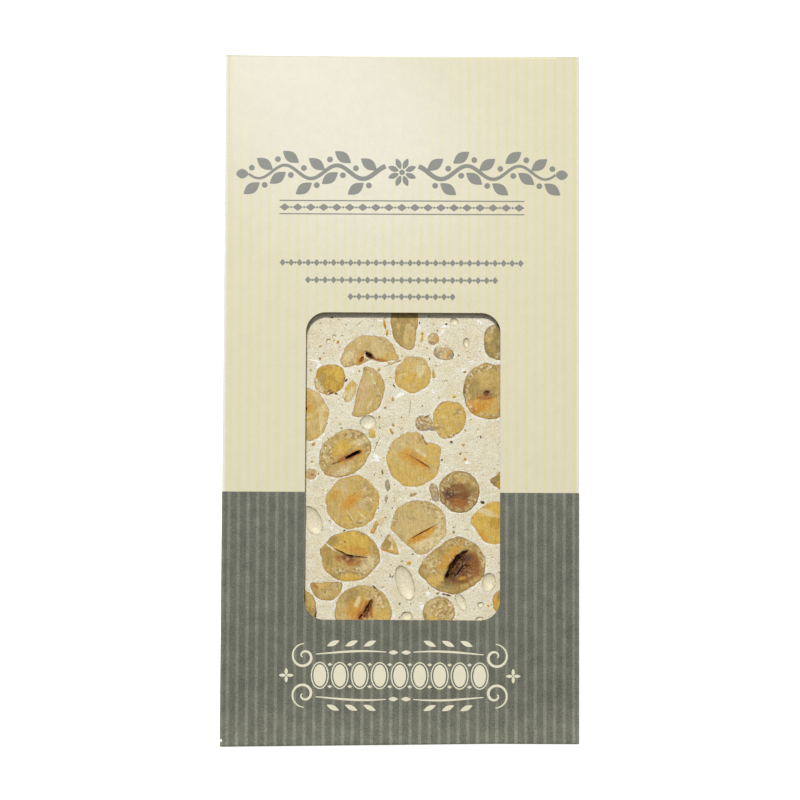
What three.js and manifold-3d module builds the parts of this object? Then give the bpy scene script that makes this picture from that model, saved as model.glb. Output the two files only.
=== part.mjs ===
// A thin slice of white hazelnut nougat in its own slim paperboard carton.
// The carton lies on its back. A rounded window in the front panel shows the sawn face of the slice,
// with the hazelnuts that the saw went through. Millimetres, +Z up, +Y towards the carton's top end,
// origin at the middle of the back panel's outer face.

import * as THREE from "three";
import { mergeVertices } from "three/addons/utils/BufferGeometryUtils.js";
import Module from "manifold-3d";

const wasm = await Module();
wasm.setup();

// Carton: one folded sheet of board, closed by a tuck flap at each end.
const CARTON_WIDTH = 90;
const CARTON_HEIGHT = 175;
const CARTON_DEPTH = 7;
const BOARD = 0.5;
const FOLD_RADIUS = 0.8;
const FOLD_STEPS = 4;
const FLAP_SIDE_GAP = 0.2;
const FLAP_STEP = 0.1;
const TUCK_LENGTH = 11;
const TUCK_GAP = 0.15;
const CORNER_RELIEF = 0.6;

// Window: die-cut in the front panel, a little right of centre and below the middle.
const WINDOW_WIDTH = 49;
const WINDOW_HEIGHT = 77;
const WINDOW_RADIUS = 5;
const WINDOW_X = 0.5;
const WINDOW_Y = -17;
const WINDOW_STEPS = 6;

// Slice: a sawn slab that fills the carton and lies on the back panel with a hair of air under it.
const SLICE_WIDTH = 84;
const SLICE_HEIGHT = 168;
const SLICE_THICKNESS = 4.2;
const SLICE_RADIUS = 2.5;
const SLICE_CORNER_STEPS = 4;
const SLICE_GAP = 0.1;
const SLICE_BOTTOM = BOARD + SLICE_GAP;
const SLICE_TOP = SLICE_BOTTOM + SLICE_THICKNESS;

// Each nut is drawn to its visible outline, then it and its pocket part by half of this gap.
const NUT_GAP = 0.3;
const NUT_POINTS = 26;
const CRUMB_POINTS = 12;
const UNEVEN = 0.022;
const CRUMB_DEPTH = 1.8;

// Hazelnut pieces that show in the window. long and wide are half lengths, turn is the long axis in
// degrees, and a flat is where the saw or a break cut the nut: the way it faces and how far out it is.
// A hollow is the nut's own cavity where the cut opened it.
const NUTS = [
  { name: "hazelnut_top_half", x: 2.4, y: 19.7, long: 7.1, wide: 5.1, turn: 92, flats: [[-6, 1.7]] },
  { name: "hazelnut_arch", x: -8.0, y: 9.2, long: 7.2, wide: 7.1, turn: 9, flats: [[-81, 0.3], [208, 6.3]],
    hollow: { x: -8.9, y: 10.6, long: 1.5, wide: 1.1, turn: 20, deep: 2.2 } },
  { name: "hazelnut_round_upper", x: 2.9, y: 6.2, long: 4.7, wide: 4.5, turn: 90, flats: [[140, 4.2]] },
  { name: "hazelnut_yellow", x: -18.0, y: 4.9, long: 4.1, wide: 3.6, turn: 45, flats: [] },
  { name: "hazelnut_wedge", x: -10.1, y: 1.8, long: 6.5, wide: 5.8, turn: 76, flats: [[166, 0.8]] },
  { name: "hazelnut_edge_upper", x: 24.4, y: 14.6, long: 4.8, wide: 3.5, turn: 90, flats: [] },
  { name: "hazelnut_ringed", x: 22.4, y: 2.1, long: 7.1, wide: 6.8, turn: 90, flats: [[80, 6.8]],
    hollow: { x: 21.6, y: 1.4, long: 1.1, wide: 0.9, turn: 0, deep: 1.6 } },
  { name: "hazelnut_edge_left", x: -24.2, y: -4.1, long: 6.8, wide: 5.8, turn: 90, flats: [],
    hollow: { x: -24.9, y: -3.0, long: 2.4, wide: 1.1, turn: 88, deep: 1.8 } },
  { name: "hazelnut_round_right", x: 12.1, y: -5.1, long: 4.7, wide: 4.3, turn: 90, flats: [[180, 3.8]] },
  { name: "hazelnut_slit", x: -14.2, y: -14.0, long: 7.0, wide: 5.5, turn: 35, flats: [[-75, 5.4]],
    hollow: { x: -12.6, y: -14.3, long: 2.3, wide: 0.6, turn: 27, deep: 2.0 } },
  { name: "hazelnut_broad", x: 3.2, y: -15.4, long: 6.9, wide: 6.7, turn: 0, flats: [[48, 6.2]] },
  { name: "hazelnut_brown", x: 14.8, y: -23.5, long: 5.4, wide: 5.0, turn: 110, flats: [] },
  { name: "hazelnut_large_left", x: -12.1, y: -26.2, long: 6.7, wide: 6.5, turn: 0, flats: [[97, 6.2]] },
  { name: "hazelnut_lens", x: 4.7, y: -32.4, long: 7.2, wide: 6.8, turn: 10, flats: [[226, 5.3], [-46, 6.3]],
    hollow: { x: 6.0, y: -33.0, long: 3.5, wide: 0.5, turn: 29, deep: 1.2 } },
  { name: "hazelnut_edge_lower", x: 24.0, y: -31.3, long: 6.0, wide: 5.3, turn: 0, flats: [[215, 5.0]] },
  { name: "hazelnut_split", x: -12.6, y: -39.8, long: 7.4, wide: 6.3, turn: 0, flats: [],
    hollow: { x: -12.4, y: -39.6, long: 3.6, wide: 0.6, turn: -14, deep: 1.6 } },
  { name: "hazelnut_chip", x: -2.8, y: -36.8, long: 3.9, wide: 3.9, turn: 0,
    flats: [[23, 1.4], [152, 1.4], [251, 1.9]] },
  { name: "hazelnut_dark_heart", x: 13.5, y: -42.1, long: 8.2, wide: 6.8, turn: 18, flats: [[130, 5.9]],
    hollow: { x: 14.0, y: -41.6, long: 4.0, wide: 1.5, turn: 54, deep: 2.6 } },
  { name: "hazelnut_half_moon", x: -18.5, y: -46.6, long: 4.3, wide: 4.1, turn: 90, flats: [[90, 0.2]] },
  { name: "hazelnut_corner_left", x: -25.7, y: -53.8, long: 5.8, wide: 4.8, turn: 90, flats: [] },
  { name: "hazelnut_open_core", x: -9.3, y: -54.1, long: 7.2, wide: 7.0, turn: 90, flats: [],
    hollow: { x: -8.9, y: -53.4, long: 2.5, wide: 1.3, turn: 60, deep: 2.4 } },
  { name: "hazelnut_round_lower", x: 9.8, y: -53.9, long: 4.1, wide: 3.9, turn: 0, flats: [] },
  { name: "hazelnut_corner_right", x: 26.4, y: -51.1, long: 3.5, wide: 3.0, turn: 90, flats: [] },
  { name: "hazelnut_edge_tip", x: 24.7, y: -20.7, long: 3.2, wide: 3.2, turn: 0,
    flats: [[133, 1.4], [227, 1.4]] },
];

// Broken bits of nut and skin that stop part of the way down the slice.
const CRUMBS = [
  { name: "hazelnut_sliver", x: -12.9, y: 1.8, long: 3.0, wide: 1.2, turn: 71, flats: [] },
  { name: "hazelnut_crumb_pink", x: 8.1, y: 15.1, long: 1.5, wide: 1.5, turn: 0, flats: [] },
  { name: "hazelnut_crumb_grey", x: 10.8, y: 11.5, long: 2.6, wide: 1.6, turn: -6, flats: [] },
  { name: "hazelnut_crumb_clear", x: 5.9, y: -6.2, long: 2.3, wide: 2.0, turn: 20, flats: [] },
  { name: "hazelnut_crumb_skin", x: 8.5, y: -23.5, long: 2.4, wide: 1.1, turn: 106, flats: [] },
  { name: "hazelnut_crumb_left", x: -22.8, y: -19.2, long: 1.6, wide: 1.5, turn: 0, flats: [] },
];

// Air bubbles that the saw opened in the nougat, each an egg-shaped dent.
const BUBBLES = [
  { x: 1.2, y: -46.4, long: 4.5, wide: 2.2, turn: 108, deep: 1.2 },
  { x: -22.2, y: -30.8, long: 3.8, wide: 2.2, turn: 116, deep: 1.0 },
  { x: 22.3, y: -46.1, long: 2.3, wide: 1.7, turn: 80, deep: 0.9 },
  { x: 15.3, y: -51.1, long: 2.3, wide: 1.2, turn: 118, deep: 0.7 },
  { x: -8.4, y: -5.9, long: 2.0, wide: 1.8, turn: 0, deep: 0.9 },
  { x: 16.5, y: 14.3, long: 1.3, wide: 0.8, turn: 90, deep: 0.6 },
  { x: 20.3, y: -51.6, long: 0.8, wide: 0.6, turn: 0, deep: 0.5 },
];
const DENT_SIDES = 14;
const DENT_RINGS = 6;

const board = new THREE.MeshStandardMaterial({ color: 0xe4dcbd, roughness: 0.45, metalness: 0 });
const nougatWhite = new THREE.MeshStandardMaterial({ color: 0xe3dcc2, roughness: 0.5, metalness: 0 });
const nutFlesh = new THREE.MeshStandardMaterial({ color: 0xccb169, roughness: 0.4, metalness: 0 });

const radians = (degrees) => (degrees * Math.PI) / 180;

function toSolid(geometry) {
  const bare = geometry.index ? geometry.toNonIndexed() : geometry.clone();
  bare.deleteAttribute("normal");
  bare.deleteAttribute("uv");
  const merged = mergeVertices(bare, 1e-5);
  return new wasm.Manifold(
    new wasm.Mesh({
      numProp: 3,
      vertProperties: new Float32Array(merged.attributes.position.array),
      triVerts: new Uint32Array(merged.index.array),
    })
  );
}

function toMesh(solid, name, material) {
  const result = solid.getMesh();
  const geometry = new THREE.BufferGeometry();
  geometry.setAttribute("position", new THREE.BufferAttribute(new Float32Array(result.vertProperties), 3));
  geometry.setIndex(new THREE.BufferAttribute(new Uint32Array(result.triVerts), 1));
  const mesh = new THREE.Mesh(geometry, material);
  mesh.name = name;
  return mesh;
}

// A rectangle about (x, y) with round corners, as points going anticlockwise.
function roundedRectangle(width, height, radius, steps, x = 0, y = 0) {
  const points = [];
  const corners = [[1, 1], [-1, 1], [-1, -1], [1, -1]];
  corners.forEach(([sideX, sideY], quarter) => {
    for (let step = 0; step <= steps; step += 1) {
      const angle = (quarter + step / steps) * (Math.PI / 2);
      points.push(new THREE.Vector2(
        x + sideX * (width / 2 - radius) + radius * Math.cos(angle),
        y + sideY * (height / 2 - radius) + radius * Math.sin(angle)
      ));
    }
  });
  return points;
}

function prism(points, bottom, top) {
  const geometry = new THREE.ExtrudeGeometry(new THREE.Shape(points), {
    depth: top - bottom,
    bevelEnabled: false,
  });
  geometry.translate(0, 0, bottom);
  return toSolid(geometry);
}

// Stands a profile drawn in (across, up) on the carton's length: across stays X and up becomes Z.
function alongLength(points, length) {
  const geometry = new THREE.ExtrudeGeometry(new THREE.Shape(points), { depth: length, bevelEnabled: false });
  geometry.rotateX(Math.PI / 2);
  geometry.translate(0, length / 2, 0);
  return toSolid(geometry);
}

// Runs a profile drawn in (along the length, up) across the carton's width.
function acrossWidth(points, width) {
  const geometry = new THREE.ExtrudeGeometry(new THREE.Shape(points), { depth: width, bevelEnabled: false });
  geometry.rotateY(Math.PI / 2);
  geometry.rotateX(Math.PI / 2);
  geometry.translate(-width / 2, 0, 0);
  return toSolid(geometry);
}

function sleeve() {
  const length = CARTON_HEIGHT - 2 * FLAP_STEP;
  const outer = roundedRectangle(CARTON_WIDTH, CARTON_DEPTH, FOLD_RADIUS, FOLD_STEPS, 0, CARTON_DEPTH / 2);
  const inner = roundedRectangle(
    CARTON_WIDTH - 2 * BOARD, CARTON_DEPTH - 2 * BOARD, FOLD_RADIUS - BOARD, FOLD_STEPS, 0, CARTON_DEPTH / 2
  );
  return alongLength(outer, length).subtract(alongLength(inner, length + 2));
}

// The end panel hinges on the back panel, closes the end and tucks in behind the front panel.
function endFlap(end) {
  const outside = CARTON_HEIGHT / 2;
  const top = CARTON_DEPTH - BOARD - TUCK_GAP;
  const profile = [
    [outside, 0],
    [outside, top - BOARD],
    [outside - BOARD, top],
    [outside - TUCK_LENGTH, top],
    [outside - TUCK_LENGTH, top - BOARD],
    [outside - BOARD, top - BOARD],
    [outside - BOARD, BOARD],
    [outside - 2 * BOARD, BOARD],
    [outside - 2 * BOARD, 0],
  ].map(([along, up]) => new THREE.Vector2(end * along, up));
  return acrossWidth(end > 0 ? profile : profile.reverse(), CARTON_WIDTH - 2 * BOARD - 2 * FLAP_SIDE_GAP);
}

function cartonSolid() {
  const envelope = acrossWidth(
    roundedRectangle(CARTON_HEIGHT, 2 * CARTON_DEPTH, FOLD_RADIUS, FOLD_STEPS, 0, CARTON_DEPTH), CARTON_WIDTH + 2
  );
  const window = prism(
    roundedRectangle(WINDOW_WIDTH, WINDOW_HEIGHT, WINDOW_RADIUS, WINDOW_STEPS, WINDOW_X, WINDOW_Y),
    CARTON_DEPTH / 2, CARTON_DEPTH + 1
  );
  let solid = sleeve().add(endFlap(1)).add(endFlap(-1)).intersect(envelope).subtract(window);
  for (const sideX of [-1, 1]) {
    for (const sideY of [-1, 1]) {
      const relief = roundedRectangle(
        2 * CORNER_RELIEF, 2 * CORNER_RELIEF, CORNER_RELIEF / 2, 2,
        (sideX * CARTON_WIDTH) / 2, (sideY * CARTON_HEIGHT) / 2
      );
      solid = solid.subtract(prism(relief, CARTON_DEPTH - 2 * BOARD - TUCK_GAP, CARTON_DEPTH + 1));
    }
  }
  return solid;
}

// Keeps the side of a closed outline that lies within the distance out of its centre.
function cutByFlat(points, centre, toward, out) {
  const normal = new THREE.Vector2(Math.cos(radians(toward)), Math.sin(radians(toward)));
  const height = (point) => point.clone().sub(centre).dot(normal) - out;
  const kept = [];
  points.forEach((point, index) => {
    const next = points[(index + 1) % points.length];
    const here = height(point);
    const there = height(next);
    if (here <= 0) kept.push(point);
    if (here * there < 0) kept.push(point.clone().lerp(next, here / (here - there)));
  });
  return kept;
}

// A nut's outline: an oval, a little uneven, less what its flats cut away, grown on every side.
function nutOutline(nut, count, grow) {
  const centre = new THREE.Vector2(nut.x, nut.y);
  const phase = nut.x * 1.7 + nut.y * 0.9;
  let points = [];
  for (let step = 0; step < count; step += 1) {
    const angle = (step / count) * 2 * Math.PI;
    const ripple = 1 + UNEVEN * (Math.sin(2 * angle + phase) + 0.7 * Math.sin(5 * angle - 2 * phase));
    points.push(
      new THREE.Vector2(
        (nut.long * ripple + grow) * Math.cos(angle), (nut.wide * ripple + grow) * Math.sin(angle)
      ).rotateAround(new THREE.Vector2(0, 0), radians(nut.turn)).add(centre)
    );
  }
  for (const [toward, out] of nut.flats) {
    points = cutByFlat(points, centre, toward, out + grow);
  }
  return points;
}

function dent({ x, y, long, wide, turn, deep }) {
  const geometry = new THREE.SphereGeometry(1, DENT_SIDES, DENT_RINGS);
  geometry.rotateX(Math.PI / 2);
  geometry.scale(long, wide, deep);
  geometry.rotateZ(radians(turn));
  geometry.translate(x, y, SLICE_TOP);
  return toSolid(geometry);
}

function nutSolid(nut) {
  let solid = prism(nutOutline(nut, NUT_POINTS, -NUT_GAP / 2), SLICE_BOTTOM, SLICE_TOP);
  if (nut.hollow) solid = solid.subtract(dent(nut.hollow));
  return solid;
}

function crumbSolid(crumb) {
  return prism(nutOutline(crumb, CRUMB_POINTS, -NUT_GAP / 2), SLICE_TOP - CRUMB_DEPTH, SLICE_TOP);
}

function nougatSolid() {
  let solid = prism(
    roundedRectangle(SLICE_WIDTH, SLICE_HEIGHT, SLICE_RADIUS, SLICE_CORNER_STEPS), SLICE_BOTTOM, SLICE_TOP
  );
  for (const bubble of BUBBLES) solid = solid.subtract(dent(bubble));
  for (const nut of NUTS) {
    solid = solid.subtract(prism(nutOutline(nut, NUT_POINTS, NUT_GAP / 2), SLICE_BOTTOM - 1, SLICE_TOP + 1));
  }
  for (const crumb of CRUMBS) {
    const floor = SLICE_TOP - CRUMB_DEPTH - NUT_GAP;
    solid = solid.subtract(prism(nutOutline(crumb, CRUMB_POINTS, NUT_GAP / 2), floor, SLICE_TOP + 1));
  }
  return solid;
}

const slicePack = new THREE.Group();
slicePack.add(toMesh(cartonSolid(), "carton", board));
slicePack.add(toMesh(nougatSolid(), "nougat", nougatWhite));
for (const nut of NUTS) slicePack.add(toMesh(nutSolid(nut), nut.name, nutFlesh));
for (const crumb of CRUMBS) slicePack.add(toMesh(crumbSolid(crumb), crumb.name, nutFlesh));

export default slicePack;
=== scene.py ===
# A thin slice of white hazelnut nougat in a slim paperboard carton with a rounded window. The carton lies
# on its back under soft studio light. Metres: +X to the right across the front, +Y towards the top end,
# +Z up.

import math
import random

import bmesh
import bpy
import numpy as np
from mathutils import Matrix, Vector, noise


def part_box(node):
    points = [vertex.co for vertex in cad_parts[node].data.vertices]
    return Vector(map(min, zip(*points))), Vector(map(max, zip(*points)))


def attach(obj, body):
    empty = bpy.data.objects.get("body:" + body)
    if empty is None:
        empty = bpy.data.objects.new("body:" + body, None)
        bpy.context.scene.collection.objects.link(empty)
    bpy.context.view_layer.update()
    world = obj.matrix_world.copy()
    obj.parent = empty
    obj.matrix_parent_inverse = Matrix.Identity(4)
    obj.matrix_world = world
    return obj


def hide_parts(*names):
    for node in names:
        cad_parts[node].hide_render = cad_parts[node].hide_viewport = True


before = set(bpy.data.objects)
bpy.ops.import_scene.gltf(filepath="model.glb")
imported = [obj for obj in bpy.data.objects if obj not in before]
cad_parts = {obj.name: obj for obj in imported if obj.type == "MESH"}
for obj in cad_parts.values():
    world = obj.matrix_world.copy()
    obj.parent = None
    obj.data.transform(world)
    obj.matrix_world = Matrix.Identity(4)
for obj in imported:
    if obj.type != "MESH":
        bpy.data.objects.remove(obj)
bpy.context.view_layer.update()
MM = 0.001


# Camera. It looks down on the front panel from just off the upright, a little towards the carton's bottom
# end, and is rolled by about a quarter of a degree. It is far enough away that the panel's sides are almost
# parallel.
IMAGE_WIDTH_PX = 800
PX_PER_MM = 3.9685
CAMERA_DISTANCE = 620 * MM
CAMERA_LEAN = math.radians(3.66)
CAMERA_ROLL = math.radians(0.27)
IMAGE_CENTRE = Vector((-0.25, -0.46, 7.0)) * MM
SENSOR_WIDTH = 36
NEAREST_SEEN = 10 * MM

view_direction = Vector((0, math.sin(CAMERA_LEAN), -math.cos(CAMERA_LEAN)))
bpy.ops.object.camera_add(location=IMAGE_CENTRE - CAMERA_DISTANCE * view_direction)
camera = bpy.context.object
camera.name = "camera"
camera.rotation_euler = view_direction.to_track_quat("-Z", "Y").to_euler()
camera.rotation_euler.rotate_axis("Z", CAMERA_ROLL)
camera.data.sensor_width = SENSOR_WIDTH
camera.data.lens = SENSOR_WIDTH * CAMERA_DISTANCE / (IMAGE_WIDTH_PX / PX_PER_MM * MM)
camera.data.clip_start = NEAREST_SEEN
bpy.context.scene.camera = camera


# Studio. One small lamp beyond the carton's top end and a little to the left, so that the window's edge
# casts a clear shadow, and a weak fill from all round. A narrow, cool lamp almost overhead puts a soft sheen
# on the upper part of the varnished front. The floor is a light table that the camera sees as white, so
# hardly any shadow of the carton shows on it.
FLOOR_SIDE = 6.0
FLOOR_DROP = 0.05 * MM
FLOOR_GLOW, FLOOR_GLOW_SEEN = 0.45, 0.85
LAMP_HEIGHT_ANGLE = math.radians(58)
LAMP_TURN = math.radians(11)
LAMP_DISTANCE = 3.0
LAMP_SIDE = 0.26
LAMP_POWER = 79.5
SHEEN_LAMP_PLACE = Vector((-0.082, 0.382, 1.62))
SHEEN_LAMP_WIDTH, SHEEN_LAMP_LENGTH = 0.1, 0.30
SHEEN_LAMP_TURN = math.radians(32)
SHEEN_LAMP_COLOUR = (0.56, 0.63, 1.0)
SHEEN_LAMP_POWER = 2.4
FILL_STRENGTH = 0.20
FLOOR_WHITE, FLOOR_CLOUD = (0.97, 0.97, 0.97, 1), (0.96, 0.96, 0.958, 1)


def only(piece):
    """Selects one object and nothing else."""
    bpy.ops.object.select_all(action="DESELECT")
    piece.select_set(True)
    bpy.context.view_layer.objects.active = piece


def settle(piece):
    """Puts a piece's place into its mesh, so that its object sits at the origin, unturned and unscaled."""
    only(piece)
    bpy.ops.object.transform_apply(location=True, rotation=True, scale=True)


def new_material(name):
    """An empty node material with a Principled shader. Gives back the material, its tree and the shader."""
    material = bpy.data.materials.new(name)
    material.use_nodes = True
    return material, material.node_tree, material.node_tree.nodes["Principled BSDF"]


def feed(tree, node, inputs):
    """Sets a node's inputs. Each takes a value or another node's output."""
    for key, value in inputs.items():
        if isinstance(value, bpy.types.NodeSocket):
            tree.links.new(value, node.inputs[key])
        else:
            node.inputs[key].default_value = value


def put(tree, kind, inputs=None, **settings):
    """Adds a shader node with these inputs and settings."""
    added = tree.nodes.new("ShaderNode" + kind)
    for name, value in settings.items():
        setattr(added, name, value)
    feed(tree, added, inputs or {})
    return added


def fade(tree, value, low, high, to_low=0.0, to_high=1.0):
    """Maps a value smoothly from low..high to to_low..to_high."""
    inputs = {"Value": value, 1: low, 2: high, 3: to_low, 4: to_high}
    return put(tree, "MapRange", inputs, interpolation_type="SMOOTHSTEP").outputs[0]


def blend_colours(tree, mask, first, second):
    return put(tree, "Mix", {0: mask, 6: first, 7: second}, data_type="RGBA").outputs[2]


def blend_values(tree, mask, first, second):
    return put(tree, "Mix", {0: mask, 2: first, 3: second}).outputs[0]


def scaled(tree, vector, factor):
    return put(tree, "VectorMath", {0: vector, "Scale": factor}, operation="SCALE").outputs[0]


def millimetres(tree):
    """The place on the piece in millimetres, from Object coordinates."""
    return scaled(tree, put(tree, "TexCoord").outputs["Object"], 1 / MM)


def blotches(tree, place, scale, detail, roughness=0.5, distortion=0.0):
    """A cloudy value round a half. The scale tells how many blots come to a unit of place."""
    inputs = {
        "Vector": place, "Scale": scale, "Detail": detail, "Roughness": roughness, "Distortion": distortion,
    }
    return put(tree, "TexNoise", inputs).outputs[0]


bpy.ops.mesh.primitive_plane_add(size=FLOOR_SIDE, location=(0, 0, -FLOOR_DROP))
floor = bpy.context.object
floor.name = "floor"
settle(floor)
floor_paper, tree, shader = new_material("floor_paper")
cloud = blotches(tree, millimetres(tree), 0.004, 2.0)
seen = put(tree, "LightPath").outputs["Is Camera Ray"]
feed(tree, shader, {
    "Base Color": blend_colours(tree, fade(tree, cloud, 0.3, 0.7), FLOOR_WHITE, FLOOR_CLOUD),
    "Roughness": 0.9,
    "Emission Color": (1, 1, 1, 1),
    "Emission Strength": blend_values(tree, seen, FLOOR_GLOW, FLOOR_GLOW_SEEN),
})
floor.data.materials.append(floor_paper)

lamp_direction = Vector((
    -math.sin(LAMP_TURN) * math.cos(LAMP_HEIGHT_ANGLE),
    math.cos(LAMP_TURN) * math.cos(LAMP_HEIGHT_ANGLE),
    math.sin(LAMP_HEIGHT_ANGLE),
))
bpy.ops.object.light_add(type="AREA", location=LAMP_DISTANCE * lamp_direction)
lamp = bpy.context.object
lamp.name = "lamp"
lamp.rotation_euler = lamp_direction.to_track_quat("Z", "Y").to_euler()
lamp.data.size = LAMP_SIDE
lamp.data.energy = LAMP_POWER

bpy.ops.object.light_add(type="AREA", location=SHEEN_LAMP_PLACE)
sheen_lamp = bpy.context.object
sheen_lamp.name = "sheen_lamp"
sheen_lamp.rotation_euler = SHEEN_LAMP_PLACE.to_track_quat("Z", "Y").to_euler()
sheen_lamp.rotation_euler.rotate_axis("Z", SHEEN_LAMP_TURN)
sheen_lamp.data.shape = "RECTANGLE"
sheen_lamp.data.size, sheen_lamp.data.size_y = SHEEN_LAMP_WIDTH, SHEEN_LAMP_LENGTH
sheen_lamp.data.color = SHEEN_LAMP_COLOUR
sheen_lamp.data.energy = SHEEN_LAMP_POWER

world = bpy.data.worlds.new("studio")
bpy.context.scene.world = world
world.use_nodes = True
background = world.node_tree.nodes["Background"]
feed(world.node_tree, background, {"Color": (1, 1, 1, 1), "Strength": FILL_STRENGTH})
bpy.context.scene.view_settings.view_transform = "Standard"


# Carton. One sheet of 0.5 mm coated board, creased into a flat sleeve and glued along a side. At each end a
# panel hinges up from the back and tucks in behind the front. The window is die-cut, so its edge is raw
# board.
BOARD = 0.5 * MM
FOLD_RADIUS = 0.8 * MM
FOLD_SEGMENTS = 5
CREASE_RADIUS = 0.45 * MM
CREASE_SEGMENTS = 3
TUCK_DEPTH = 11 * MM
TUCK_GAP = 0.15 * MM
END_SETBACK = 0.1 * MM
BOW_START = 0.9
TOP_BOW = 0.1 * MM
BOTTOM_BOW = 1.05 * MM
BOTTOM_BOW_FULL_X = 24 * MM
BOTTOM_INSET = 0.35 * MM
EDGE_ROLL_REACH = 0.5 * MM
EDGE_ROLL_DROP = 0.3 * MM
EDGE_ROLL_CUTS = 4
FRONT_SAG = 0.22 * MM
HAIR = 0.001 * MM
PRINT_ROOM = 0.05 * MM
TOP_SLOPE = 0.85 * MM
TOP_STEP_X = 38.6 * MM
TOP_STEP_WIDTH = 0.7 * MM
TOP_CORNER_SETBACK = 0.3 * MM
WINDOW_SIZE = Vector((49.1, 77.4)) * MM
WINDOW_CENTRE = Vector((0.5, -17)) * MM
WINDOW_RADIUS = 5 * MM
WINDOW_SEGMENTS = 14

carton_low, carton_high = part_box("carton")
carton_size = carton_high - carton_low
half_width, half_length, depth = carton_size.x / 2, carton_size.y / 2, carton_size.z
tuck_height = depth - BOARD - TUCK_GAP


def pick(piece, kind, test):
    """Opens a piece for editing with only the faces, edges or verts selected that pass the test."""
    only(piece)
    bpy.ops.object.mode_set(mode="EDIT")
    bpy.ops.mesh.select_mode(type={"faces": "FACE", "edges": "EDGE", "verts": "VERT"}[kind])
    bpy.ops.mesh.select_all(action="DESELECT")
    edited = bmesh.from_edit_mesh(piece.data)
    edited.normal_update()
    for part in getattr(edited, kind):
        if test(part):
            part.select_set(True)
    edited.select_flush_mode()
    bmesh.update_edit_mesh(piece.data)


def done():
    bpy.ops.object.mode_set(mode="OBJECT")


def cut_planes(piece, axis, places):
    """Cuts a piece's faces along planes across an axis, at the given places."""
    only(piece)
    bpy.ops.object.mode_set(mode="EDIT")
    for place in places:
        bpy.ops.mesh.select_all(action="SELECT")
        normal = [0, 0, 0]
        normal[axis] = 1
        bpy.ops.mesh.bisect(plane_co=[place * n for n in normal], plane_no=normal)
    done()


def apply_modifier(piece, kind, **settings):
    only(piece)
    modifier = piece.modifiers.new(kind.lower(), kind)
    for name, value in settings.items():
        setattr(modifier, name, value)
    bpy.ops.object.modifier_apply(modifier=modifier.name)


def face_outwards(piece):
    pick(piece, "faces", lambda face: True)
    bpy.ops.mesh.normals_make_consistent(inside=False)
    done()


def remove(piece):
    bpy.data.meshes.remove(piece.data)


def middle(edge):
    return (edge.verts[0].co + edge.verts[1].co) / 2


def runs_along(edge, axis):
    way = edge.verts[1].co - edge.verts[0].co
    return abs(way[axis]) > 0.999 * way.length


def front_dip(x, y):
    """How far the front panel lies below the carton's full depth: it sags a little towards its middle."""
    across = max(0.0, 1 - (x / half_width) ** 2)
    along = max(0.0, 1 - (y / half_length) ** 2)
    uneven = 0.25 * math.sin(2.1 * x / half_width + 3.0 * y / half_length + 0.6)
    return PRINT_ROOM + FRONT_SAG * across * min(1.0, 2.2 * along) * (0.75 + uneven)


def top_setback(x):
    """How far the front panel's top edge lies back: more to the right, up to a step near the corner."""
    slope = TOP_SLOPE * (x + half_width) / (half_width + TOP_STEP_X)
    return slope if x < TOP_STEP_X + TOP_STEP_WIDTH / 2 else TOP_CORNER_SETBACK


def end_bow(end, x):
    """How far a whole end lies back. The bottom end is closed a little askew: its right half lies back."""
    if end > 0:
        return TOP_BOW * (1 - (x / half_width) ** 2)
    return BOTTOM_BOW * min(1.0, (x + half_width) / (BOTTOM_BOW_FULL_X + half_width))


def rounded_block(name, size, centre, radius, segments, low, high):
    """A block with round upright edges, from low to high."""
    bpy.ops.mesh.primitive_cube_add(size=1, location=(centre.x, centre.y, (low + high) / 2))
    block = bpy.context.object
    block.name = name
    block.scale = (size.x, size.y, high - low)
    settle(block)
    pick(block, "edges", lambda edge: runs_along(edge, 2))
    bpy.ops.mesh.bevel(offset=radius, segments=segments, affect="EDGES")
    done()
    return block


bpy.ops.mesh.primitive_cube_add(size=1, location=(0, 0, depth / 2))
carton = bpy.context.object
carton.name = "carton_board"
carton.scale = (2 * half_width, 2 * half_length, depth)
settle(carton)
pick(carton, "faces", lambda face: abs(face.normal.y) > 0.9)
bpy.ops.mesh.delete(type="ONLY_FACE")
done()
pick(carton, "edges", lambda edge: runs_along(edge, 1))
bpy.ops.mesh.bevel(offset=FOLD_RADIUS, segments=FOLD_SEGMENTS, affect="EDGES")
done()


def at_back_edge(edge, end):
    place = middle(edge)
    return end * place.y > half_length - 10 * HAIR and abs(place.z) < HAIR


for end in (-1, 1):
    pick(carton, "edges", lambda edge: at_back_edge(edge, end))
    bpy.ops.mesh.extrude_edges_move(TRANSFORM_OT_translate={"value": (0, 0, tuck_height)})
    bpy.ops.mesh.extrude_edges_move(TRANSFORM_OT_translate={"value": (0, -end * TUCK_DEPTH, 0)})
    done()


def is_crease(edge):
    place = middle(edge)
    at_end = abs(abs(place.y) - half_length) < HAIR
    return at_end and runs_along(edge, 0) and (abs(place.z) < HAIR or abs(place.z - tuck_height) < HAIR)


pick(carton, "edges", is_crease)
bpy.ops.mesh.bevel(offset=CREASE_RADIUS, segments=CREASE_SEGMENTS, affect="EDGES")
done()

GRID_ACROSS, GRID_ALONG = 18, 34
GRID_REACH_ACROSS, GRID_REACH_ALONG = 0.97, 0.985
columns = [half_width * GRID_REACH_ACROSS * (2 * i / GRID_ACROSS - 1) for i in range(GRID_ACROSS + 1)]
cut_planes(carton, 0, columns + [TOP_STEP_X, TOP_STEP_X + TOP_STEP_WIDTH])
rows = [half_length * GRID_REACH_ALONG * (2 * i / GRID_ALONG - 1) for i in range(GRID_ALONG + 1)]
roll_rows = [EDGE_ROLL_REACH * (i + 1) / EDGE_ROLL_CUTS - half_length for i in range(EDGE_ROLL_CUTS)]
cut_planes(carton, 1, rows + roll_rows)

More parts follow.
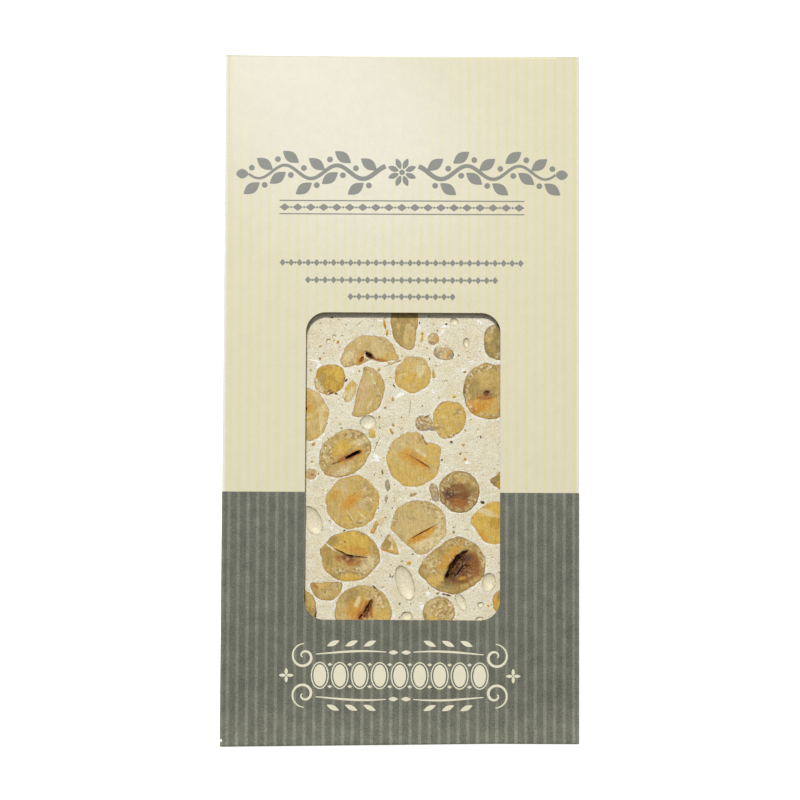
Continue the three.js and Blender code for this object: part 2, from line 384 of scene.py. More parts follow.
# The sleeve's top end stops just short of its end panel. The bottom panel lies a little inside the sleeve,
# whose front edge is rolled down over it. Both ends bow in a little, and the front panel sags.
panel_top = tuck_height + 0.2 * TUCK_GAP
for vertex in carton.data.vertices:
    place = vertex.co
    end = 1 if place.y > 0 else -1
    bow = end_bow(end, place.x) * max(0.0, (abs(place.y) / half_length - BOW_START) / (1 - BOW_START))
    on_sleeve = place.z > panel_top or abs(place.x) > half_width - FOLD_RADIUS - HAIR
    roll = max(0.0, 1 - (place.y + half_length) / EDGE_ROLL_REACH)
    if end < 0 and not on_sleeve and abs(place.y) > half_length - EDGE_ROLL_REACH:
        place.y += BOTTOM_INSET * min(1.0, roll * EDGE_ROLL_REACH / CREASE_RADIUS + 0.1)
    if end > 0 and on_sleeve and place.y > half_length - 10 * HAIR:
        place.y -= END_SETBACK
        if place.z > tuck_height:
            place.y -= top_setback(place.x)
    place.y -= end * bow
    if place.z > depth - FOLD_RADIUS:
        rolled = EDGE_ROLL_DROP * roll ** 2
        place.z -= (rolled + front_dip(place.x, place.y)) * (place.z - depth + FOLD_RADIUS) / FOLD_RADIUS
    elif tuck_height - CREASE_RADIUS < place.z <= panel_top and abs(place.x) < half_width - FOLD_RADIUS:
        place.z -= front_dip(place.x, place.y)
carton.data.update()
face_outwards(carton)


# Printed face of the board: a cream field over a dark grey one, both with fine upright pearly stripes that
# run on across the divide, under a satin varnish. The folds are pale, partly rubbed wear and partly a
# painted highlight where the rounded fold catches the lamp. The top edge is darkened with painted shade,
# and near a point towards the top left the stripes are made faint, a painted sheen that washes them out.
# The grey is mottled and worn lighter towards the bottom end.


def srgb(red, green, blue):
    """A colour as it looks on a screen, from 0 to 255, as the linear colour that a shader takes."""
    linear = [((c / 255 + 0.055) / 1.055) ** 2.4 if c > 10 else c / 3295 for c in (red, green, blue)]
    return (*linear, 1)


CREAM, CREAM_STRIPE = srgb(222, 215, 183), srgb(223, 214, 168)
GREY, GREY_STRIPE = srgb(102, 103, 87), srgb(124, 125, 108)
# Pale worn board for the nick, and on the folds also a painted highlight.
PALE_WEAR_AND_HIGHLIGHT = srgb(243, 240, 230)
INSIDE_BOARD, CUT_BOARD = srgb(214, 208, 196), srgb(206, 198, 178)
PRINT_DIVIDE, DIVIDE_SOFT = -23.7, 0.06
STRIPE_PITCH, STRIPE_WIDTH, STRIPE_START, STRIPE_SOFT = 2.407, 0.78, 0.23, 0.14
STRIPE_WOBBLE = 0.12
VARNISH = (0.08, 0.52)
# The folds are pale: rubbed wear and a painted highlight, strong on the cream and weak on the grey.
FOLD_WEAR_AND_LIGHT_STRENGTHS, FOLD_WEAR_AND_LIGHT_START, FOLD_WEAR_AND_LIGHT_FULL = (0.1, 0.9), 0.95, 0.45
# Painted shade along the top edge.
TOP_SHADE_START_Y, TOP_SHADE_FULL_Y, TOP_SHADE_DARKER = 86.5, 87.2, 0.9
# Round this point the stripes fade: a painted sheen that washes them out.
SHEEN_FADE_PLACE, SHEEN_FADE_START, SHEEN_FADE_END, SHEEN_FADE_LEFT = (-16, 78, 7), 12, 50, 0.28
WEAR_START_Y, WEAR_FULL_Y, WEAR_LIGHTER = -73.0, -87.5, 1.28
NICK_PLACE, NICK_INNER, NICK_OUTER = (-44.7, -85.9, 7.0), 0.25, 0.5


def maths(tree, operation, first, second=0.0):
    return put(tree, "Math", {0: first, 1: second}, operation=operation).outputs[0]


def multiply(tree, first, second):
    return maths(tree, "MULTIPLY", first, second)


def swing(tree, value, amount):
    """Turns a value round a half into a swing of this amount round zero."""
    return multiply(tree, maths(tree, "SUBTRACT", value, 0.5), amount)


def distance_to(tree, place, point):
    return put(tree, "VectorMath", {0: place, 1: point}, operation="DISTANCE").outputs["Value"]


def board_grain():
    """A group for every side of the board: a mottled value near one, and a height for its bump."""
    group = bpy.data.node_groups.new("board_grain", "ShaderNodeTree")
    for name in ("Size", "Amount"):
        group.interface.new_socket(name, in_out="INPUT", socket_type="NodeSocketFloat")
    for name in ("Value", "Height"):
        group.interface.new_socket(name, in_out="OUTPUT", socket_type="NodeSocketFloat")
    entry, leave = group.nodes.new("NodeGroupInput"), group.nodes.new("NodeGroupOutput")
    place = scaled(group, millimetres(group), entry.outputs["Size"])
    fine, broad = blotches(group, place, 2.6, 3.0, 0.7), blotches(group, place, 0.35, 2.0)
    mottling = swing(group, blend_values(group, 0.3, fine, broad), entry.outputs["Amount"])
    feed(group, leave, {"Value": maths(group, "ADD", mottling, 1.0), "Height": fine})
    return group


grain_group = board_grain()


def add_grain(tree, size, amount):
    return put(tree, "Group", {"Size": size, "Amount": amount}, node_tree=grain_group)


def lighten(tree, colour, value):
    """Multiplies a colour by a value near one."""
    if not isinstance(colour, bpy.types.NodeSocket):
        colour = colour[:3]
    return scaled(tree, colour, value)


def bump(tree, height, strength, distance):
    return put(tree, "Bump", {"Height": height, "Strength": strength, "Distance": distance}).outputs[0]


def grained(name, colour, size, amount, roughness, strength, distance):
    """A plain material with the board's grain in its colour and in its bump."""
    material, tree, shader = new_material(name)
    mottle = add_grain(tree, size, amount)
    feed(tree, shader, {
        "Base Color": lighten(tree, colour, mottle.outputs["Value"]),
        "Roughness": roughness,
        "Normal": bump(tree, mottle.outputs["Height"], strength, distance),
    })
    return material


def shade_round(piece, sharp_from):
    """Shades a piece smooth, but leaves the edges sharp that turn by more than so many degrees."""
    only(piece)
    bpy.ops.object.shade_smooth_by_angle(angle=math.radians(sharp_from))


printed, tree, shader = new_material("printed_board")
place_mm = millimetres(tree)
axes = put(tree, "SeparateXYZ", {0: place_mm})
across, along = axes.outputs[0], axes.outputs[1]
wobble = swing(tree, blotches(tree, place_mm, 0.6, 1.0), STRIPE_WOBBLE)
from_start = maths(tree, "SUBTRACT", maths(tree, "ADD", across, wobble), STRIPE_START - 100.5 * STRIPE_PITCH)
in_pitch = maths(tree, "MODULO", from_start, STRIPE_PITCH)
from_stripe = maths(tree, "ABSOLUTE", maths(tree, "SUBTRACT", in_pitch, STRIPE_PITCH / 2))
stripe = fade(tree, from_stripe, STRIPE_WIDTH / 2 - STRIPE_SOFT, STRIPE_WIDTH / 2 + STRIPE_SOFT, 1.0, 0.0)
# Painted sheen: near the top left the stripes fade, as the varnish's sheen would wash them out.
from_sheen_fade = distance_to(tree, place_mm, SHEEN_FADE_PLACE)
stripe = multiply(tree, stripe, fade(tree, from_sheen_fade, SHEEN_FADE_START, SHEEN_FADE_END, SHEEN_FADE_LEFT, 1.0))
divide = (PRINT_DIVIDE - DIVIDE_SOFT, PRINT_DIVIDE + DIVIDE_SOFT)
lower = fade(tree, along, *divide, 1.0, 0.0)
cream_field = blend_colours(tree, stripe, CREAM, CREAM_STRIPE)
grey_field = blend_colours(tree, stripe, GREY, GREY_STRIPE)
fields = blend_colours(tree, lower, cream_field, grey_field)
mottle, grey_mottle = add_grain(tree, 1.0, 0.26), add_grain(tree, 0.9, 2.3)
from_middle = maths(tree, "ABSOLUTE", across)
# Pale folds: rubbed wear and a painted highlight where the rounded fold catches the lamp.
at_fold = fade(tree, from_middle, half_width / MM - FOLD_WEAR_AND_LIGHT_START, half_width / MM - FOLD_WEAR_AND_LIGHT_FULL)
fold_wear_and_light_strength = fade(tree, along, *divide, *FOLD_WEAR_AND_LIGHT_STRENGTHS)
fold_wear_and_light = multiply(tree, fade(tree, mottle.outputs["Height"], 0.3, 0.7, 0.6, 1.0), fold_wear_and_light_strength)
worn_and_lit_fields = blend_colours(tree, multiply(tree, at_fold, fold_wear_and_light), fields, PALE_WEAR_AND_HIGHLIGHT)
from_nick = distance_to(tree, place_mm, NICK_PLACE)
nicked = blend_colours(tree, fade(tree, from_nick, NICK_INNER, NICK_OUTER, 1.0, 0.0), worn_and_lit_fields, PALE_WEAR_AND_HIGHLIGHT)
mottled = blend_values(tree, lower, mottle.outputs["Value"], grey_mottle.outputs["Value"])
worn = multiply(tree, mottled, fade(tree, along, WEAR_FULL_Y, WEAR_START_Y, WEAR_LIGHTER, 1.0))
# Painted shade: the print darkens along the top edge.
painted_top_shade = fade(tree, along, TOP_SHADE_START_Y, TOP_SHADE_FULL_Y, 1.0, TOP_SHADE_DARKER)
feed(tree, shader, {
    "Base Color": lighten(tree, nicked, multiply(tree, worn, painted_top_shade)),
    "Roughness": fade(tree, mottle.outputs["Height"], 0.2, 0.8, 0.44, 0.58),
    "Specular IOR Level": 0.3,
    "Coat Weight": fade(tree, grey_mottle.outputs["Height"], 0.38, 0.62, *VARNISH),
    "Coat Roughness": 0.15,
    "Normal": bump(tree, mottle.outputs["Height"], 0.12, 0.06 * MM),
})
inside_board = grained("inside_of_board", INSIDE_BOARD, 0.6, 0.2, 0.85, 0.3, 0.08 * MM)
cut_board = grained("cut_edge_of_board", CUT_BOARD, 2.2, 0.35, 0.9, 0.5, 0.08 * MM)
for material in (printed, inside_board, cut_board):
    carton.data.materials.append(material)

apply_modifier(
    carton, "SOLIDIFY", thickness=BOARD, offset=-1, use_even_offset=True,
    material_offset=1, material_offset_rim=2
)
window_cutter = rounded_block(
    "window_cutter", WINDOW_SIZE, WINDOW_CENTRE, WINDOW_RADIUS, WINDOW_SEGMENTS, depth / 2, 2 * depth
)
window_cutter.data.materials.append(cut_board)
apply_modifier(
    carton, "BOOLEAN", operation="DIFFERENCE", object=window_cutter, solver="EXACT", material_mode="TRANSFER"
)
remove(window_cutter)
shade_round(carton, 35)
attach(carton, "root")
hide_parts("carton")


# Print on the front: flat ornament in silver grey on the cream field and in cream on the grey field. It is
# a film of ink, drawn here as thin closed shapes that lie on the panel and follow its sag.
INK_THICKNESS = 0.02 * MM
INK_SINK = 0.006 * MM
SILVER_INK, CREAM_INK = srgb(131, 131, 117), srgb(229, 223, 192)
FRIEZE_Y, FRIEZE_START, FRIEZE_HALF, FRIEZE_WAVE, FRIEZE_PITCH = 57.4, 4.2, 41.0, 1.7, 13.2
STEM_ROOT, STEM_TIP, STEM_SHORT, STEM_POINTS = 1.25, 0.6, 2.1, 61
LEAVES, LEAF_SIZE, LEAF_PINCH, LEAF_LEAN = 10, (2.5, 1.35), 0.7, math.radians(36)
LEAF_SHIFT, LEAF_LIFT, LEAF_HIGH_LIFT = 0.9, 2.7, 3.1
BERRY, BERRY_DROP = 0.75, 2.1
RULE_Y, RULE_HALF, RULE_GAP, RULE_LINE, RULE_POINTS = 48.4, 31.0, 1.7, 0.3, 13
RULE_PITCH, RULE_LOZENGE, RULE_BEAD = 3.3, (1.35, 0.95), 0.3
ROW_PLACES = ((34.3, 31.6), (29.9, 25.4), (25.7, 13.2))
ROW_PITCH, ROW_LOZENGE, ROW_BEAD = 2.15, (0.78, 0.92), 0.34
PANEL_Y, PANEL_OVALS, PANEL_PITCH, PANEL_OVAL, PANEL_STUD = -69.6, 9, 5.0, (1.6, 2.75), (0.62, 0.42)
HOOP_ACROSS, HOOP_ALONG, HOOP_LINE, HOOP_POINTS = 2.1, 3.25, 0.3, 31
RAIL_START, RAIL_END, RAIL_OUT, RAIL_WAVE, RAIL_POINTS = 3.4, 21.0, 5.6, 0.5, 30
CURL_X, CURL_OUT, CURL_TURNS, CURL_WIDE, CURL_NARROW, CURL_POINTS = 24.0, 4.7, 1.3, 2.9, 0.35, 34
INK_GRAIN, INK_GRAIN_AMOUNT, INK_RELIEF, INK_RELIEF_HEIGHT = 1.6, 0.22, 0.1, 0.04 * MM
ink_shapes = []


def flat_shape(outline):
    """A flat face with this outline in millimetres, kept for the print that is being drawn."""
    bpy.ops.mesh.primitive_circle_add(vertices=len(outline), fill_type="NGON")
    shape = bpy.context.object
    for vertex, (x, y) in zip(shape.data.vertices, outline):
        vertex.co = (x * MM, y * MM, 0)
    ink_shapes.append(shape)


def oval(x, y, long, wide, turn=0.0, count=16, pinch=0.0):
    """An oval, or with pinch an almond leaf that comes to a point at both ends."""
    ahead, aside = math.cos(turn), math.sin(turn)
    outline = []
    for step in range(count):
        angle = 2 * math.pi * step / count
        u, v = long * math.cos(angle), wide * math.sin(angle) * (1 - pinch * math.cos(angle) ** 2)
        outline.append((x + u * ahead - v * aside, y + u * aside + v * ahead))
    flat_shape(outline)


def ribbon(path, widths):
    """A flat stroke along a path, with its own width at each point."""
    bpy.ops.mesh.primitive_grid_add(x_subdivisions=len(path) - 1, y_subdivisions=1)
    stroke = bpy.context.object
    for index, (here, width) in enumerate(zip(path, widths)):
        before, after = Vector(path[max(0, index - 1)]), Vector(path[min(len(path) - 1, index + 1)])
        way = (after - before).normalized()
        side = Vector((-way.y, way.x)) * width / 2
        for row, sign in ((0, -1), (1, 1)):
            place = Vector(here) + sign * side
            stroke.data.vertices[row * len(path) + index].co = (place.x * MM, place.y * MM, 0)
    ink_shapes.append(stroke)


def joined(pieces, name):
    bpy.ops.object.select_all(action="DESELECT")
    for piece in pieces:
        piece.select_set(True)
    bpy.context.view_layer.objects.active = pieces[0]
    bpy.ops.object.join()
    whole = bpy.context.object
    whole.name = name
    return whole


def give_material(piece, material):
    piece.data.materials.clear()
    piece.data.materials.append(material)


def lay_print(name, material):
    """Joins the shapes drawn since the last print into one film of ink on the front panel."""
    film = joined(ink_shapes, name)
    ink_shapes.clear()
    face_outwards(film)
    pick(film, "faces", lambda face: True)
    bpy.ops.mesh.remove_doubles(threshold=1e-7)
    done()
    pick(film, "faces", lambda face: face.normal.z < 0)
    bpy.ops.mesh.flip_normals()
    done()
    settle(film)
    apply_modifier(film, "SOLIDIFY", thickness=INK_THICKNESS, offset=1)
    for vertex in film.data.vertices:
        vertex.co.z += depth - INK_SINK - front_dip(vertex.co.x, vertex.co.y)
    give_material(film, material)
    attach(film, "root")


def ink(name, colour, roughness):
    return grained(name, colour, INK_GRAIN, INK_GRAIN_AMOUNT, roughness, INK_RELIEF, INK_RELIEF_HEIGHT)


def swelling(thin, swell, count):
    """The widths of a stroke that is thin at both ends and swells by so much in between."""
    return [thin + swell * math.sin(math.pi * step / (count - 1)) for step in range(count)]


def beaded_row(y, half, pitch, lozenge, bead):
    """A row of lozenges with a bead between each two."""
    count = int(half / pitch)
    for step in range(-count, count + 1):
        oval(step * pitch, y, *lozenge, 0.0, 4)
        if step < count:
            oval((step + 0.5) * pitch, y, bead, bead, 0.0, 8)


def flower(x, y, petals, first_turn, radius, long, wide, pinch):
    """A ring of petals. The first one points in the given turn."""
    for petal in range(petals):
        turn = first_turn + 2 * math.pi * petal / petals
        oval(x + radius * math.cos(turn), y + radius * math.sin(turn), long, wide, turn, 14, pinch)


def frieze_stem(x):
    return FRIEZE_Y + FRIEZE_WAVE * math.sin(2 * math.pi * x / FRIEZE_PITCH)


for side in (-1, 1):
    stem_points = np.linspace(FRIEZE_START, FRIEZE_HALF - STEM_SHORT, STEM_POINTS)
    stem_widths = np.linspace(STEM_ROOT, STEM_TIP, STEM_POINTS).tolist()
    ribbon([(side * x, frieze_stem(x)) for x in stem_points], stem_widths)
    for step in range(1, LEAVES + 1):
        x = FRIEZE_START + step * FRIEZE_PITCH / 4
        up = 1 if step % 2 else -1
        lift = LEAF_LIFT if step % 4 in (1, 2) else LEAF_HIGH_LIFT
        leaf_x = x + LEAF_SHIFT
        oval(side * leaf_x, frieze_stem(x) + up * lift, *LEAF_SIZE, side * up * LEAF_LEAN, 20, LEAF_PINCH)
        oval(side * leaf_x, frieze_stem(leaf_x) - up * BERRY_DROP, BERRY, BERRY, 0.0, 14)
    oval(side * (FRIEZE_HALF - 0.5), frieze_stem(FRIEZE_HALF - STEM_SHORT), 1.55, 1.25, 0.0, 18, 0.3)
flower(0, FRIEZE_Y, 8, math.pi / 8, 2.35, 1.45, 0.72, 0.5)
oval(0, FRIEZE_Y, 0.72, 0.72)

for offset in (-RULE_GAP, RULE_GAP):
    rule_points = np.linspace(-RULE_HALF, RULE_HALF, RULE_POINTS)
    ribbon([(x, RULE_Y + offset) for x in rule_points], [RULE_LINE] * RULE_POINTS)
beaded_row(RULE_Y, RULE_HALF, RULE_PITCH, RULE_LOZENGE, RULE_BEAD)
for row_y, row_half in ROW_PLACES:
    beaded_row(row_y, row_half, ROW_PITCH, ROW_LOZENGE, ROW_BEAD)
lay_print("ornament_silver", ink("silver_ink", SILVER_INK, 0.4))

hoop = [2 * math.pi * step / (HOOP_POINTS - 1) for step in range(HOOP_POINTS)]
for step in range(PANEL_OVALS):
    x = (step - (PANEL_OVALS - 1) / 2) * PANEL_PITCH
    oval(x, PANEL_Y, *PANEL_OVAL, 0.0, 24)
    hoop_path = [(x + HOOP_ACROSS * math.cos(turn), PANEL_Y + HOOP_ALONG * math.sin(turn)) for turn in hoop]
    ribbon(hoop_path, [HOOP_LINE] * HOOP_POINTS)
    if step < PANEL_OVALS - 1:
        for up in (-1, 1):
            oval(x + PANEL_PITCH / 2, PANEL_Y + up * PANEL_OVAL[1], *PANEL_STUD, 0.0, 4)
for side in (-1, 1):
    for up in (-1, 1):
        rail = []
        for x in np.linspace(RAIL_START, RAIL_END, RAIL_POINTS):
            rail.append((side * x, PANEL_Y + up * (RAIL_OUT + RAIL_WAVE * math.sin(x / RAIL_OUT))))
        ribbon(rail, swelling(0.22, 0.3, RAIL_POINTS))
        curl = []
        for run in np.linspace(0, 1, CURL_POINTS):
            angle = 0.5 * math.pi - CURL_TURNS * 2 * math.pi * run
            radius = CURL_WIDE * (1 - run) ** 0.8 + CURL_NARROW
            x, y = CURL_X + radius * math.cos(angle), CURL_OUT + radius * math.sin(angle)
            curl.append((side * x, PANEL_Y + up * y))
        ribbon(curl, swelling(0.24, 0.42, CURL_POINTS))
        oval(side * 1.6, PANEL_Y + up * 5.8, 1.2, 0.55, 0.0, 14, 0.7)
        for step in range(3):
            leaf_x = 7.5 + 4.6 * step
            oval(side * leaf_x, PANEL_Y + up * 8.0, 1.7, 0.62, -side * up * math.radians(24), 14, 0.7)
    flower(side * 28.4, PANEL_Y, 4, 0.0, 0.95, 0.85, 0.4, 0.3)
lay_print("ornament_cream", ink("cream_ink", CREAM_INK, 0.45))


# Nougat. Whipped sugar, honey and egg white, set white and sawn into a thin slab while firm. The saw leaves a
# waxy, faintly wavy face, opens air bubbles, and cuts straight through the hazelnuts set in it.
SLICE_RADIUS = 2.5 * MM
FACE_SIZE = Vector((54, 82)) * MM
FACE_PARTS_ACROSS, FACE_PARTS_ALONG, FACE_CUTS = 3, 5, 80
OUTLINE_HEIGHT = 0.3 * MM
OUTLINE_STEP = 0.25
OUTLINE_GROWTH = 0.2
NUT_SPACING = 0.12
CUTTER_REACH = 2 * MM
SURFACE_DEPTH = 0.25
POCKET_EDGE_DROP, POCKET_EDGE_WIDTH = 0.03, 0.4
FAR_OFF, NEAR_REACH, SCATTER_GAP = 9.0, 1.5, 0.15
SAW_WAVES = ((0.05, 6.0, 0.0), (0.035, 1.7, 3.0), (0.02, 0.55, 7.0))

# The larger opened air bubbles: place, half lengths, turn and depth.
BUBBLES = (
    (1.2, -46.4, 4.5, 2.2, 108, 1.0), (-22.2, -30.8, 3.8, 2.2, 116, 0.8), (22.3, -46.1, 2.3, 1.7, 80, 0.9),
    (15.3, -51.1, 2.3, 1.1, 118, 0.6), (-8.3, -6.0, 2.0, 1.8, 0, 0.7), (16.5, 14.3, 1.2, 0.75, 90, 0.6),
    (20.3, -51.8, 0.8, 0.65, 0, 0.5), (1.7, -54.8, 1.4, 1.2, 0, 0.7), (20.0, -55.4, 0.9, 0.5, 10, 0.4),
    (13.4, 19.6, 1.0, 0.9, 0, 0.5), (-18.4, 14.6, 0.62, 0.55, 30, 0.45), (-17.0, 15.7, 0.55, 0.5, 30, 0.4),
)
PIT_COUNT, PIT_SMALLEST, PIT_LARGEST = 110, 0.12, 0.36

# Painted highlights: white glints on the face, each a place, half lengths and turn.
PAINTED_GLINTS = (
    (-21.7, 9.3, 2.2, 1.2, 140), (-12.3, 6.8, 1.3, 0.9, 60), (10.9, 18.0, 2.6, 0.8, 55),
    (17.1, 8.6, 1.7, 0.6, 40), (15.6, 7.5, 0.8, 0.5, 30), (8.9, 5.2, 0.6, 0.5, 0),
    (8.2, 1.6, 1.4, 0.9, 140), (20.4, 19.4, 1.9, 0.6, -25), (16.8, -16.3, 0.9, 0.6, 60),
    (11.3, -17.5, 0.9, 0.5, 60), (12.9, -17.4, 0.7, 0.5, 70), (-6.2, -15.0, 2.0, 1.4, 60),
    (-20.4, -10.0, 2.6, 0.7, 60), (0.6, -22.6, 1.4, 0.8, 20), (-17.4, -32.6, 2.4, 0.7, -35),
    (6.9, -49.2, 0.9, 0.7, 0), (2.0, -28.0, 1.6, 0.6, 20), (-0.4, 0.9, 1.6, 0.7, 20),
    (13.2, -28.4, 1.0, 0.5, 0), (22.0, -35.4, 1.2, 0.6, 10), (-1.6, 10.8, 1.2, 0.5, -30),
    (-5.6, 20.0, 1.4, 0.5, 0), (5.2, -52.0, 1.0, 0.8, 0), (2.6, -42.6, 0.7, 0.5, 0),
)
SCATTER_SEED = 11

slice_low, slice_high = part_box("nougat")
slice_size = slice_high - slice_low
face_low = WINDOW_CENTRE - FACE_SIZE / 2
nut_names = sorted(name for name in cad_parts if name.startswith("hazelnut"))

# Where a nut's broken edge stands out from its round outline or lies back from it: place, reach and push,
# in millimetres.
OUTLINE_PUSHES = {
    "hazelnut_broad": ((6.8, -10.2, 1.6, -0.7), (9.6, -12.4, 2.6, 0.7), (4.0, -8.9, 1.4, 0.4)),
    "hazelnut_dark_heart": ((5.6, -43.6, 2.4, 0.9), (8.4, -38.4, 2.6, 0.7), (15.0, -35.4, 3.0, 0.5)),
    "hazelnut_large_left": ((-12.4, -19.8, 3.0, 0.4), (-13.4, -32.9, 2.6, 0.5), (-18.9, -25.0, 2.6, 0.3)),
    "hazelnut_yellow": ((-21.6, 2.2, 2.0, 0.5), (-21.0, 7.4, 1.6, 0.3)),
    "hazelnut_arch": ((-8.0, 8.7, 3.2, -0.9), (-12.6, 7.2, 1.6, 0.5), (-1.0, 9.8, 1.4, 0.4)),
    "hazelnut_split": ((-19.9, -38.4, 2.0, 0.6), (-19.0, -35.2, 1.8, -0.5), (-5.6, -41.2, 1.6, 0.4)),
    "hazelnut_round_right": ((7.8, -2.4, 1.4, -0.5), (8.0, -7.0, 1.6, 0.5), (10.6, -9.0, 1.5, 0.3)),
    "hazelnut_edge_lower": ((17.6, -31.0, 2.0, 0.4), (20.4, -36.6, 2.0, 0.4)),
    "hazelnut_half_moon": ((-15.0, -44.4, 1.4, 0.4),),
    "hazelnut_crumb_grey": ((9.0, 12.8, 1.0, 0.3), (10.9, 13.3, 0.9, -0.5)),
    "hazelnut_brown": ((9.0, -22.0, 2.0, 0.5), (10.8, -27.8, 1.8, -0.4)),
}


def cloudy(places, size, seed=0.0):
    """Smooth noise from about -1 to 1 at each place in millimetres, with blots of about the given size."""
    return np.array([noise.noise(Vector((x / size, y / size, seed))) for x, y in places])


def mesh_places(piece):
    """Every vertex's place in millimetres, one row each."""
    flat = np.empty(3 * len(piece.data.vertices), np.float32)
    piece.data.vertices.foreach_get("co", flat)
    return flat.reshape(-1, 3).astype(float) / MM


def move_places(piece, places):
    piece.data.vertices.foreach_set("co", (places * MM).astype(np.float32).ravel())
    piece.data.update()


def store(piece, name, values):
    """Keeps a number or a colour for each vertex, for the material to read."""
    kind = "FLOAT" if values.ndim == 1 else "FLOAT_COLOR"
    kept = piece.data.attributes.new(name, kind, "POINT")
    kept.data.foreach_set("value" if values.ndim == 1 else "color", values.astype(np.float32).ravel())


def oval_distance(places, x, y, long, wide, turn):
    """How far out each place lies in an oval: 0 at its centre and 1 on its edge."""
    turn = math.radians(turn)
    dx, dy = places[:, 0] - x, places[:, 1] - y
    along = (dx * math.cos(turn) + dy * math.sin(turn)) / long
    over = (dy * math.cos(turn) - dx * math.sin(turn)) / wide
    return np.hypot(along, over)


def smooth(value):
    value = np.clip(value, 0, 1)
    return value * value * (3 - 2 * value)


def nut_outline(name):
    """A nut's outline in millimetres, as evenly spaced points, cut just above its underside."""
    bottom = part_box(name)[0].z
    only(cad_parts[name])
    bpy.ops.object.duplicate()
    copy = bpy.context.object
    bpy.ops.object.mode_set(mode="EDIT")
    bpy.ops.mesh.select_all(action="SELECT")
    bpy.ops.mesh.remove_doubles(threshold=1e-6)
    bpy.ops.mesh.bisect(
        plane_co=(0, 0, bottom + OUTLINE_HEIGHT), plane_no=(0, 0, 1), clear_inner=True, clear_outer=True
    )
    done()
    loop = bmesh.new()
    loop.from_mesh(copy.data)
    loop.verts.ensure_lookup_table()
    here, came = loop.verts[0], None
    ring = []
    while True:
        ring.append((here.co.x / MM, here.co.y / MM))
        came = next(edge for edge in here.link_edges if edge != came)
        here = came.other_vert(here)
        if here == loop.verts[0]:
            break
    loop.free()
    remove(copy)
    closed = np.array(ring + ring[:1])
    run = np.concatenate([[0], np.cumsum(np.hypot(*np.diff(closed, axis=0).T))])
    stations = np.linspace(0, run[-1], int(run[-1] / OUTLINE_STEP), endpoint=False)
    even = np.column_stack([np.interp(stations, run, closed[:, axis]) for axis in (0, 1)])
    for _ in range(3):
        even = (even + 0.5 * (np.roll(even, 1, axis=0) + np.roll(even, -1, axis=0))) / 2
    return even


def roughen(ring, others, pushes, seed):
    """Makes an outline ragged, moves it out or in at its pushes, and keeps it clear of the other nuts."""
    way = np.roll(ring, -1, axis=0) - np.roll(ring, 1, axis=0)
    out = np.column_stack([way[:, 1], -way[:, 0]]) / np.hypot(*way.T)[:, None]
    following = np.roll(ring, -1, axis=0)
    turning = np.sum(ring[:, 0] * following[:, 1] - following[:, 0] * ring[:, 1])
    growth = OUTLINE_GROWTH + 0.3 * cloudy(ring, 2.7, seed) + 0.16 * cloudy(ring, 1.1, seed + 0.3)
    growth = np.clip(growth, -0.3, 0.45) + 0.1 * cloudy(ring, 0.45, seed + 0.6)
    for x, y, reach, push in pushes:
        growth += push * smooth(1 - np.hypot(ring[:, 0] - x, ring[:, 1] - y) / reach)
    growth = np.minimum(growth, (gap_to(ring, others) - NUT_SPACING) / 2)
    return ring + np.sign(turning) * out * growth[:, None]


def prism(name, ring, low, high):
    """A closed upright block with the ring as its outline."""
    bpy.ops.mesh.primitive_circle_add(vertices=len(ring), fill_type="NGON")
    block = bpy.context.object
    block.name = name
    for vertex, (x, y) in zip(block.data.vertices, ring):
        vertex.co = (x * MM, y * MM, low)
    pick(block, "faces", lambda face: True)
    bpy.ops.mesh.extrude_region_move(TRANSFORM_OT_translate={"value": (0, 0, high - low)})
    done()
    settle(block)
    face_outwards(block)
    return block


def egg(x, y, long, wide, turn, deep, height, segments=28, rings=14, rough=0.0):
    """An egg-shaped cutter for a bubble or a hollow, with its middle at the given height."""
    bpy.ops.mesh.primitive_uv_sphere_add(segments=segments, ring_count=rings, radius=1)
    cutter = bpy.context.object
    for vertex in cutter.data.vertices:
        vertex.co *= 1 + rough * noise.noise(vertex.co * 2.2 + Vector((x, y, 0)))
    cutter.scale = (long * MM, wide * MM, deep * MM)
    cutter.rotation_euler.z = math.radians(turn)
    cutter.location = (x * MM, y * MM, height)
    settle(cutter)
    return cutter


def on_face(place):
    across, along = abs(place.x - WINDOW_CENTRE.x), abs(place.y - WINDOW_CENTRE.y)
    return across < FACE_SIZE.x / 2 and along < FACE_SIZE.y / 2


def gap_to(places, ring):
    """How far each place lies from the nearest point of an outline."""
    across = places[:, None, 0] - ring[None, :, 0]
    along = places[:, None, 1] - ring[None, :, 1]
    return np.hypot(across, along).min(axis=1)


def cut_away(piece, cutter):
    """Takes a closed cutter's shape out of a piece."""
    apply_modifier(piece, "BOOLEAN", operation="DIFFERENCE", object=cutter, solver="MANIFOLD")


def stored(tree, name, output="Fac"):
    """Reads in a material what store kept for each vertex."""
    return put(tree, "Attribute", attribute_name=name).outputs[output]


def streaks(tree, place, turn, stretch, scale, detail, roughness=0.5):
    """Blotches that are turned by so many degrees and drawn out into streaks."""
    inputs = {"Vector": place, "Rotation": (0, 0, math.radians(turn)), "Scale": (*stretch, 1)}
    drawn = put(tree, "Mapping", inputs)
    return blotches(tree, drawn.outputs[0], scale, detail, roughness)


